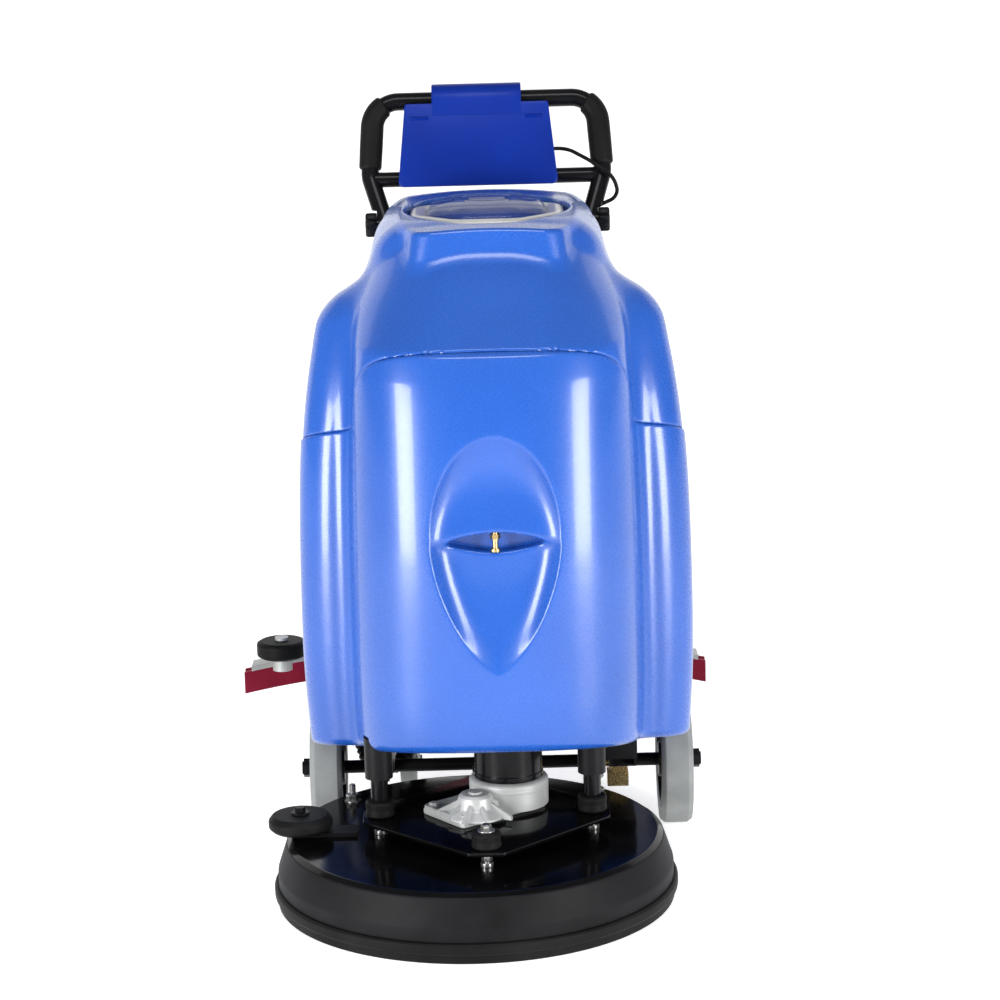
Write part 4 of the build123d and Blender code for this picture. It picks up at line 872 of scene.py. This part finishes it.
def lid_frame():
    """The rim, its rear strap and the strap's hinge barrel."""
    bm = bmesh.new()
    levels = [
        (lid_outline(1.5), RIM_Z0), (lid_outline(0), RIM_Z0 + 2), (lid_outline(0), RIM_Z1 - 5),
        (lid_outline(1.3), RIM_Z1 - 1.6), (lid_outline(5), RIM_Z1 + 0.6), (lid_outline(12), RIM_Z1 + 1.4),
        (lid_outline(20), RIM_Z1 + 0.2), (lid_outline(24), RIM_Z1 - 2.2), (lid_outline(25.5), RIM_Z1 - 6),
        (lid_outline(25.5), RIM_Z0),
    ]
    closed_band(bm, levels)
    strap = bmesh.new()
    left, right = BODY_X - STRAP_HALF, BODY_X + STRAP_HALF
    brick(strap, left, right, LID_REAR - 12, HINGE_Y - 2, HINGE_Z - 5, HINGE_Z + 0.5)
    bevel_sharp(strap, 1.5)
    barrel = rounded([(3.2, -STRAP_HALF), (6.3, -STRAP_HALF), (6.3, STRAP_HALF), (3.2, STRAP_HALF)], 1.2)
    lathe(strap, barrel, (BODY_X, HINGE_Y, HINGE_Z), "X", 24)
    merge(bm, strap)
    add_piece("lid_frame", to_mesh("lid_frame", bm), "lid_grey", "lid", ["lid_rim"], 40)


def lid_window():
    """The clear pane: a flat underside, a short edge and a low dome."""
    bm = bmesh.new()
    levels = [(lid_outline(PANE_INSET), PANE_Z0)]
    for i in range(13):
        a = math.pi / 2 * i / 12
        outline = lid_outline(PANE_INSET + DOME_REACH * (1 - math.cos(a)))
        levels.append((outline, PANE_Z1 + DOME_RISE * math.sin(a)))
    cap_ends(bm, stacked(bm, levels))
    add_piece("lid_window", to_mesh("lid_window", bm), "lid_clear", "lid", ["lid_dome"], 60)


lid_frame()
lid_window()


# ---- handle ----
FOOT = (600.0, 895.0)  # (y, z) of the handle's pivot, its bend and its top bar
KNEE = (634.0, 968.0)
BAR = (668.0, 1082.0)
FOOT_X, KNEE_X, BAR_X = 160, 184, 176
BEND_RADII = (45, 42, 42, 45)
GRIP_Z0 = 977
GRIP_LONG = 109.5
GRIP_STEP = 1.5
GRIP_SIDES = 40
LEAN = math.atan2(BAR[0] - KNEE[0], BAR[1] - KNEE[1])
BAR_UP = math.dist(KNEE, BAR)
PANEL_X = 27.0
PANEL_OFF = 20.0
PANEL_T = 6.0
PANEL_LOW, PANEL_HIGH = -22.0, 110.0
PANEL_LOW_HALF, PANEL_HIGH_HALF = 126.0, 113.0
TAB_HALF = 70.6
TAB_LOW = 90.0
TAB_TURN = 160  # degrees that the tab wraps round the bar
RIDGE_UP = 86


def on_handle(across, up, out):
    """A place in mm given across the machine, up the handle's slope and out to its front."""
    y = KNEE[0] + math.sin(LEAN) * up - math.cos(LEAN) * out
    z = KNEE[1] + math.cos(LEAN) * up + math.sin(LEAN) * out
    return Vector((across, y, z))


def tube_line():
    leg = [(FOOT_X, *FOOT), (KNEE_X, *KNEE), (BAR_X, *BAR)]
    points = [(BODY_X - x, y, z) for x, y, z in leg] + [(BODY_X + x, y, z) for x, y, z in reversed(leg)]
    return filleted(points, BEND_RADII, 14)


def run_length(points, start, end):
    """The part of a line between two lengths along it."""
    out, gone = [], 0.0
    for a, b in zip(points, points[1:]):
        step = (b - a).length
        if gone + step > start and gone < end:
            t0 = max(0.0, (start - gone) / step)
            t1 = min(1.0, (end - gone) / step)
            if not out:
                out.append(a.lerp(b, t0))
            out.append(a.lerp(b, t1))
        gone += step
    return out


def grip_mouth(bm, here, after):
    """The grip's end face and the start of its bore."""
    axis = (after - here).normalized()
    side_way = axis.cross(Vector((0, 1, 0))).normalized()
    other = axis.cross(side_way)
    rings = []
    for radius, deep in ((14.5, 0.0), (14.15, 0.6), (14.15, 10.0)):
        ring = []
        for k in range(GRIP_SIDES):
            a = 2 * math.pi * k / GRIP_SIDES
            q = here + axis * deep + (side_way * math.cos(a) + other * math.sin(a)) * radius
            ring.append(bm.verts.new(place(*q)))
        rings.append(ring)
    join_rings(bm, rings)


def grip(name, side):
    line = tube_line() if side < 0 else list(reversed(tube_line()))
    leg = math.dist((FOOT_X, *FOOT), (KNEE_X, *KNEE))
    start = leg * (GRIP_Z0 - FOOT[1]) / (KNEE[1] - FOOT[1]) + 0.5
    span = resample(run_length(line, start, start + GRIP_LONG), GRIP_STEP)
    total = GRIP_STEP * (len(span) - 1)
    radii = []
    for i in range(len(span)):
        at = GRIP_STEP * i
        lip = 17.7 - 3.2 * (1 - min(at / 4.0, (total - at) / 4.0, 1)) ** 2
        radii.append(lip + 0.5 * math.sin(math.pi * at / total))
    bm = bmesh.new()
    sweep_ring(bm, span, radii, GRIP_SIDES, caps=False)
    grip_mouth(bm, span[0], span[1])
    grip_mouth(bm, span[-1], span[-2])
    add_piece(name + "_sleeve", to_mesh(name, bm), "black_rubber", "handle", [name], 50)


def on_panel(bm, x, up, out):
    return bm.verts.new(place(*on_handle(PANEL_X + x, up, out)))


def panel_plate(bm):
    """A plate with rounded corners and edges, wider below."""
    low, high = PANEL_LOW, PANEL_HIGH
    wide, narrow = PANEL_LOW_HALF, PANEL_HIGH_HALF
    corners = [(wide, low), (narrow, high), (-narrow, high), (-wide, low)]
    outline = rounded([(0, low), *corners, (0, low)], [9, 5, 5, 9], 6)[:-1]
    front, back = PANEL_OFF + PANEL_T, PANEL_OFF
    rings = []
    for shrink, out in ((1.5, back), (0, back + 1.2), (0, front - 2.0), (0.7, front - 0.6), (2.2, front)):
        across = 1 - shrink / wide
        along = 1 - 2 * shrink / (high - low)
        rings.append([on_panel(bm, x * across, low + (up - low) * along + shrink, out) for x, up in outline])
    join_rings(bm, rings)
    cap_ends(bm, rings)


def panel_tab(bm):
    """The tab: up the plate's face and round over the top bar, with softened sides."""
    top, under = PANEL_OFF + 6.6, PANEL_OFF + 0.4
    section = []
    for i in range(9):
        up = TAB_LOW + i * (BAR_UP - TAB_LOW) / 8
        section.append(((up, top), (up, under)))
    for i in range(1, 19):
        a = math.radians(i * TAB_TURN / 18)
        radii = (26.0 + 0.6 * max(0.0, 1 - 2 * a), 20.4)
        section.append([(BAR_UP + math.sin(a) * r, math.cos(a) * r) for r in radii])
    half = TAB_HALF
    columns = [
        (-half, 2.0), (-half + 0.6, 0.6), (-half + 2.2, 0.0), (0, 0.0),
        (half - 2.2, 0.0), (half - 0.6, 0.6), (half, 2.0),
    ]
    rings = []
    for outer, inner in section:
        outer, inner = Vector(outer), Vector(inner)
        ring = [on_panel(bm, x, *outer.lerp(inner, drop / PANEL_T)) for x, drop in columns]
        ring += [on_panel(bm, x, *inner) for x in (half - 1.0, -half + 1.0)]
        rings.append(ring)
    join_rings(bm, rings)
    cap_ends(bm, rings)


def panel_ridge(bm, x0, x1):
    """A short raised bar across the plate, lower at its two ends."""
    section = [(-3.0, -1.0), (-2.0, 1.6), (0, 2.8), (2.2, 1.6), (3.4, -1.0)]
    rings = []
    for x, scale in ((x0, 0.5), (x0 + 2, 1.0), (x1 - 2, 1.0), (x1, 0.5)):
        rings.append([
            on_panel(bm, x, RIDGE_UP + u * scale, PANEL_OFF + PANEL_T + v * scale) for u, v in section
        ])
    join_rings(bm, rings)
    cap_ends(bm, rings)


def panel():
    """The front cover: a plate, a tab over the bar and two short ridges beside the tab."""
    bm = bmesh.new()
    panel_plate(bm)
    panel_tab(bm)
    panel_ridge(bm, -106, -76)
    panel_ridge(bm, 76, 104)
    add_piece("front_cover", to_mesh("front_cover", bm), "panel_blue", "handle", ["panel_cover"], 40)


KNOB_STEPS = 120
KNOB_X = 174.4  # where the knob's head starts, from the tanks' middle
SCREW_X = 129
SCREW_R = 4.9


def knob(name, side):
    """A knob with five lobes, scooped in the middle, and its screw."""
    bm = bmesh.new()
    outline = []
    for i in range(KNOB_STEPS):
        a = 2 * math.pi * i / KNOB_STEPS
        r = 17.0 + 2.9 * math.cos(5 * a)
        outline.append((r * math.sin(a), r * math.cos(a)))
    start = BODY_X + side * KNOB_X
    levels = [(0.93, 0.0), (1.0, 1.6), (1.0, 14.0), (0.95, 16.6), (0.84, 17.6), (0.5, 16.4), (0.3, 15.8)]
    rings = []
    for scale, deep in levels:
        x = start + side * deep
        rings.append([bm.verts.new(place(x, FOOT[0] + y * scale, FOOT[1] + z * scale)) for y, z in outline])
    join_rings(bm, rings)
    cap_ends(bm, rings)
    low, high = sorted((BODY_X + side * SCREW_X, start))
    screw = rounded([(0, 0), (SCREW_R, 0), (SCREW_R, high - low), (0, high - low)], 0.6)
    lathe(bm, screw, (low, *FOOT), "X", 24)
    add_piece(name + "_head", to_mesh(name, bm), "black_plastic", name, [name], 40)


grip("grip_left", 1)
grip("grip_right", -1)
panel()
knob("star_knob_left", 1)
knob("star_knob_right", -1)


# ---- deck ----
STUDS = [
    (CARRIER[0] + STUD_REACH, CARRIER[1]), (CARRIER[0], CARRIER[1] + STUD_REACH),
    (CARRIER[0] - STUD_REACH, CARRIER[1]), (CARRIER[0], CARRIER[1] - STUD_REACH),
]
SKIRT_BOLTS = [(-182, 150), (182, 150)]
DECK_TOP = 95
PLATE_Z0, PLATE_Z1 = 116.2, 122
PLATE_REACH = 178
CASE_Z0 = 122.3
FLANGE_Z = 131
CONE = (2, -34, 0)
DRUM = (50, 25, 0)
MATERIALS["deck_flank"] = surface(
    "deck_flank", (0.004, 0.004, 0.0045), (0.009, 0.009, 0.010), (0.5, 0.62), 900.0, (0.3, 0.0004),
    Specular_IOR_Level=0.12,
)


def deck_cover():
    """The glossy top, the duller flank and the rubber skirt below it."""
    bm = bmesh.new()
    top = rounded([(46, 89), (46, DECK_TOP), (262, DECK_TOP), (269.4, 90)], [1, 6], 6)
    lathe(bm, top + [(267, 86.5), (256, 88.6), (46, 89)], (0, 0, 0), "Z", 160)
    add_piece("deck_top", to_mesh("deck_top", bm), "deck_black", "deck", ["deck_cover"], 40)
    bm = bmesh.new()
    flank = [(262, 85), (267, 92), (271, 88), (284, 50), (284, 30.2), (279.5, 30.2)]
    lathe(bm, rounded(flank, [2, 3, 16, 1], 6) + [(279.5, 49), (262, 85)], (0, 0, 0), "Z", 160)
    mesh = to_mesh("deck_flank", bm)
    add_piece("deck_flank", mesh, "deck_black", "deck", ["deck_cover"], 40, MATERIALS["deck_flank"])
    bm = bmesh.new()
    skirt = rounded(
        [(279.4, 30), (287, 30), (290, 27), (290, 16), (287, 12.6), (285, 12.6), (285, 1), (279.4, 1)],
        [2.4, 3.2, 3.2, 1.6, 0.8, 1.0], 5,
    )
    lathe(bm, skirt + [(279.4, 30)], (0, 0, 0), "Z", 160)
    add_piece("skirt_ring", to_mesh("skirt_ring", bm), "black_rubber", "deck", ["deck_skirt"], 40)


def stud(steel, rubber, x, y):
    """A stud on the deck: its base, its nut and the rubber buffer over it."""
    lathe(steel, rounded([(0, DECK_TOP), (4, DECK_TOP), (4, 121.8), (0, 121.8)], 0.6), (x, y, 0), "Z", 20)
    lathe(steel, rounded([(4, DECK_TOP), (9, DECK_TOP), (9, 101), (4, 101)], 0.8), (x, y, 0), "Z", 28)
    nut = [(0, 103), (7.2, 103), (7.9, 104), (7.9, 114.6), (7.2, 115.8), (0, 115.8)]
    lathe(steel, nut, (x, y, 0), "Z", 6)
    buffer = [(0, 122.2), (18, 122.2), (21, 125), (20, 134), (21, 143), (18, 146), (0, 146)]
    lathe(rubber, rounded(buffer, [2, 2.5, 6, 2.5, 2]), (x, y, 0), "Z", 48)


def skirt_bolt(steel, x, y):
    """A washer, a nut and a threaded end."""
    lathe(steel, rounded([(0, DECK_TOP), (12, DECK_TOP), (12, 97), (0, 97)], 0.6), (x, y, 0), "Z", 32)
    lathe(steel, [(0, 97), (9.2, 97), (9.8, 98), (9.8, 105), (9.0, 106), (0, 106)], (x, y, 0), "Z", 6)
    thread = [(0, 106)]
    for i in range(10):
        thread += [(5.0, 106.4 + 1.4 * i), (4.4, 107.1 + 1.4 * i)]
    lathe(steel, thread + [(3.6, 121), (0, 121)], (x, y, 0), "Z", 24)


def stud_parts():
    """Four studs. Two carry the columns that guide the deck, and two end in a washer and a nut."""
    steel, black, rubber = bmesh.new(), bmesh.new(), bmesh.new()
    for index, (x, y) in enumerate(STUDS):
        stud(steel, rubber, x, y)
        if index % 2 == 0:
            column = rounded([(0, 146), (12.4, 146), (12.4, 292), (0, 292)], [1, 2])
            lathe(black, column, (x, y, 0), "Z", 48)
        else:
            lathe(steel, rounded([(0, 146), (12, 146), (12, 148), (0, 148)], 0.6), (x, y, 0), "Z", 32)
            nut = [(0, 148), (7.2, 148), (7.8, 149), (7.8, 154), (6.4, 156), (0, 156)]
            lathe(steel, nut, (x, y, 0), "Z", 6)
    for x, y in SKIRT_BOLTS:
        skirt_bolt(steel, x, y)
    add_piece("deck_studs", to_mesh("deck_studs", steel), "zinc_steel", "deck", ["deck_fasteners"], 30)
    mesh = to_mesh("guide_columns", black)
    add_piece("guide_columns", mesh, "zinc_steel", "deck", ["deck_fasteners"], 30, MATERIALS["frame_black"])
    mesh = to_mesh("rubber_buffers", rubber)
    add_piece("rubber_buffers", mesh, "black_rubber", "deck", ["deck_buffers"], 40)


def ring_start(corners):
    """A closed loop's corners, started and ended in the middle of its last side."""
    middle = tuple((Vector(corners[0]) + Vector(corners[-1])) / 2)
    return [middle, *corners, middle]


def carrier():
    """The carrier plate: a square on its corner, with the four points cut off."""
    bm = bmesh.new()
    corners = []
    for a in (0, 90, 180, 270):
        for turn in (-8, 8):
            angle = math.radians(a + turn)
            corners.append((
                CARRIER[0] + PLATE_REACH * math.cos(angle), CARRIER[1] + PLATE_REACH * math.sin(angle)
            ))
    slab(bm, rounded(ring_start(corners), 12, 5)[:-1], PLATE_Z0, PLATE_Z1)
    bevel_sharp(bm, 0.9, 60)
    add_piece("carrier", to_mesh("carrier", bm), "deck_black", "deck", ["carrier_plate"], 40)


def case_flange(bm):
    """The lozenge plate under the case, and the raised rim on it."""
    loop = rounded(ring_start([(105, 18), (46, 96), (-76, 0), (-16, -78)]), 9, 6)[:-1]
    slab(bm, loop, CASE_Z0, FLANGE_Z)
    bevel_sharp(bm, 2.2, 60)
    centre = Vector((15, 9))
    outer, middle, inner = (
        [tuple(centre + (Vector(p) - centre) * scale) for p in loop] for scale in (0.985, 0.968, 0.90)
    )
    rim = bmesh.new()
    closed_band(rim, [(outer, 130), (outer, 134), (middle, 135.4), (inner, 134.6), (inner, 130)])
    return rim


def case_ribs(bm):
    """Nine thin ribs that run down from the cone, long and short by turns."""
    thick = 2.4
    for i in range(9):
        angle = math.radians(40 * i + 12)
        along = Vector((math.cos(angle), math.sin(angle)))
        side = Vector((-along.y, along.x)) * thick
        foot = Vector(CONE[:2])
        a, b = foot + along * 16, foot + along * (46 if i % 2 else 58)
        verts = []
        for p, z in ((a, 129), (b, 129), (b, 134), (a, 156)):
            for s in (-1, 1):
                verts.append(bm.verts.new(place(p.x + side.x * s, p.y + side.y * s, z)))
        for quad in ((0, 2, 4, 6), (7, 5, 3, 1), (2, 3, 5, 4), (4, 5, 7, 6), (6, 7, 1, 0), (0, 1, 3, 2)):
            bm.faces.new([verts[q] for q in quad])


def gear_case():
    """The cast case: a lozenge flange with a rim, a low cone with ribs, the drum and four bolt heads."""
    bm = bmesh.new()
    cast = case_flange(bm)
    cone = [(0, 162), (20, 162), (24, 158), (27, 142), (44, 132), (44, 129), (0, 129)]
    lathe(cast, rounded(cone, [2, 3, 8, 3, 1]), CONE, "Z", 64)
    lathe(cast, rounded([(0, 164.5), (9, 164.5), (10, 163), (10, 161), (0, 161)], 0.6), CONE, "Z", 40)
    case_ribs(cast)
    drum = [(0, 169.6), (50.5, 169.6), (54.5, 168), (56.8, 165), (56.8, 140), (56.8, 129), (0, 129)]
    lathe(cast, rounded(drum, [1, 3, 3, 3, 1]), DRUM, "Z", 96)
    lathe(cast, rounded([(52, 160), (57, 160), (57, 154), (52, 154)], 1.4), DRUM, "Z", 96)
    bmesh.ops.recalc_face_normals(cast, faces=cast.faces)
    merge(bm, cast)
    for x, y in ((84, 22), (44, 78), (-58, 0), (-14, -62)):
        bolt = [(0, 131), (6.6, 131), (7.2, 132), (7.2, 137), (6, 138.6), (0, 138.6)]
        lathe(bm, bolt, (x, y, 0), "Z", 6)
    add_piece("gear_case", to_mesh("gear_case", bm), "cast_aluminium", "deck", ["gearbox"], 32)


def motor():
    bm = bmesh.new()
    can = [(0, 170), (49, 170), (50, 171), (50, 178), (49, 179), (49, 276), (50, 278), (50, 283), (47, 286)]
    lathe(bm, rounded(can + [(43, 287), (42, 299), (39, 300), (0, 300)], 1.2), DRUM, "Z", 96)
    add_piece("motor_can", to_mesh("motor_can", bm), "frame_black", "deck", ["brush_motor"], 32)


TUFT_SIDES = 8


def tuft(bm, x, y, splay):
    """A tuft of bristles that leans outwards and widens towards the floor."""
    turns = [2 * math.pi * j / TUFT_SIDES for j in range(TUFT_SIDES)]
    rings = []
    for z, r, lean in ((0.4, 5.4, splay), (12, 5.13, 1 + (splay - 1) * 0.6), (47.8, 4.0, 1.0)):
        rings.append([
            bm.verts.new(place(x * lean + r * math.cos(a), y * lean + r * math.sin(a), z)) for a in turns
        ])
    join_rings(bm, rings)
    cap_ends(bm, rings)


def bristles():
    """Five rings of tufts, each ring set between the last ring's tufts."""
    bm = bmesh.new()
    for row in range(5):
        radius = 150 + 24.5 * row
        count = 54 + 9 * row
        for k in range(count):
            a = 2 * math.pi * (k + 0.5 * (row % 2)) / count
            tuft(bm, radius * math.cos(a), radius * math.sin(a), 1.0 + 0.02 * row)
    add_piece("bristle_tufts", to_mesh("bristle_tufts", bm), "bristle_black", "brush", ["brush_bristles"], 50)


BUMPER = (-250, 2, 0)


def bumper():
    bm = bmesh.new()
    wheel = [(6.2, 102.2), (40, 102.2), (46, 108), (46, 118), (40, 125.6), (6.2, 125.6)]
    lathe(bm, rounded(wheel, [5, 5, 5, 6], 6) + [(6.2, 102.2)], BUMPER, "Z", 96)
    add_piece("bumper_wheel", to_mesh("bumper_wheel", bm), "black_rubber", "deck_bumper", ["deck_bumper"], 40)


deck_cover()
stud_parts()
carrier()
gear_case()
motor()
bristles()
bumper()


# ---- wheels and hose ----
WHEEL_X = 265  # from the tanks' middle
TREAD_R = 97.4
HOSE_ROUTE = (
    (-90, 410, 195), (-90, 410, 154), (-96, 402, 114), (-114, 392, 82), (-142, 392, 66), (-168, 404, 78),
    (-180, 430, 108), (-181, 438, 146), (-181, 438.5, 178),
)
HOSE_STEP = 1.1
RIB_GAP = 8.8
ROLLER_X, ROLLER_Y = 314, 626


def tyre(name, body, side):
    """A solid tyre with rounded shoulders and two thin bands round its tread."""
    bm = bmesh.new()
    hub = (BODY_X + side * WHEEL_X, WHEEL_Y, WHEEL_R)
    profile = [(74, -22), (92, -24.6), (97.8, -17), (98, -6), (98, 6), (97.8, 17), (92, 24.6), (74, 22)]
    lathe(bm, rounded(profile, [5, 5, 2, 1, 2, 5], 5) + [(74, -22)], hub, "X", 144)
    for middle in (-12, 12):
        low, high = middle - 0.8, middle + 0.8
        band = [(TREAD_R, low), (WHEEL_R, low), (WHEEL_R, high), (TREAD_R, high)]
        lathe(bm, band, hub, "X", 144)
    add_piece(name + "_rubber", to_mesh(name, bm), "tyre_grey", body, [name], 40)


def hose():
    """The corrugated drain hose, with its bends as wide as its route allows."""
    radii = []
    for a, b, c in zip(HOSE_ROUTE, HOSE_ROUTE[1:], HOSE_ROUTE[2:]):
        u, v = Vector(b) - Vector(a), Vector(c) - Vector(b)
        radii.append(0.45 * min(u.length, v.length) / math.tan(u.angle(v) / 2))
    line = resample(filleted(HOSE_ROUTE, radii, 8), HOSE_STEP)
    turns = [2 * math.pi * i * HOSE_STEP / RIB_GAP for i in range(len(line))]
    bm = bmesh.new()
    sweep_ring(bm, line, [13.9 - 1.25 * (1 + math.cos(a)) for a in turns], 32)
    add_piece("ribbed_hose", to_mesh("ribbed_hose", bm), "black_rubber", "chassis", ["drain_hose"], 60)


def roller(name, side):
    """A squeegee roller: a rubber ring with rounded shoulders."""
    bm = bmesh.new()
    ring = [(6.1, 190.2), (34, 190.2), (40.8, 194), (40.8, 214), (34, 217.8), (6.1, 217.8)]
    lathe(bm, rounded(ring, [3, 4, 4, 4], 5) + [(6.1, 190.2)], (side * ROLLER_X, ROLLER_Y, 0), "Z", 96)
    add_piece(name + "_rubber", to_mesh(name, bm), "black_rubber", name, [name], 40)


tyre("drive_tyre_left", "wheel_left", 1)
tyre("drive_tyre_right", "wheel_right", -1)
hose()
roller("squeegee_roller_left", 1)
roller("squeegee_roller_right", -1)


# ---- light and floor ----
FLOOR_REACH = 12.0  # metres from the middle to the floor's sides and front
FLOOR_BACK = 6.0
WALL_TOP = 9.0
CURVE_R = 2.0
CURVE_STEPS = 12
FLOOR_GLOW = 0.62


def make_stage():
    """A pale floor that curves up into a wall behind the machine."""
    mesh = bpy.data.meshes.new("floor")
    rows = [(-FLOOR_REACH, 0.0), (FLOOR_BACK, 0.0)]
    for i in range(1, CURVE_STEPS + 1):
        a = math.pi / 2 * i / CURVE_STEPS
        rows.append((FLOOR_BACK + CURVE_R * math.sin(a), CURVE_R - CURVE_R * math.cos(a)))
    rows.append((FLOOR_BACK + CURVE_R, WALL_TOP))
    verts = [(x, y, z) for y, z in rows for x in (-FLOOR_REACH, FLOOR_REACH)]
    faces = [(2 * i, 2 * i + 1, 2 * i + 3, 2 * i + 2) for i in range(len(rows) - 1)]
    mesh.from_pydata(verts, [], faces)
    for polygon in mesh.polygons:
        polygon.use_smooth = True
    floor = bpy.data.objects.new("floor", mesh)
    bpy.context.scene.collection.objects.link(floor)
    material = new_material("floor", (0.9, 0.9, 0.9), 0.5)
    lit = material.node_tree.nodes["Principled BSDF"]
    lit.inputs["Emission Color"].default_value = (1.0, 1.0, 1.0, 1.0)
    lit.inputs["Emission Strength"].default_value = FLOOR_GLOW
    mesh.materials.append(material)


def softbox(name, where, aim, size, power):
    data = bpy.data.lights.new(name, "AREA")
    data.shape = "RECTANGLE"
    data.size, data.size_y = size
    data.energy = power
    lamp = bpy.data.objects.new(name, data)
    lamp.location = where
    lamp.rotation_euler = (Vector(aim) - Vector(where)).to_track_quat("-Z", "Y").to_euler()
    bpy.context.scene.collection.objects.link(lamp)


def make_world():
    world = bpy.data.worlds.new("studio")
    bpy.context.scene.world = world
    world.use_nodes = True
    background = world.node_tree.nodes["Background"]
    background.inputs["Color"].default_value = (0.93, 0.95, 1.0, 1.0)
    background.inputs["Strength"].default_value = 0.28


make_stage()
make_world()
softbox("left_box", (-2.2, -2.15, 0.75), (0.0, 0.0, 0.45), (0.9, 1.6), 88)
softbox("right_box", (2.25, -2.1, 0.75), (0.0, 0.0, 0.45), (0.9, 1.6), 78)
softbox("front_box", (0.0, -2.1, 3.9), (0.0, 0.0, 0.6), (2.0, 1.0), 52)
bpy.context.scene.view_settings.view_transform = "Standard"
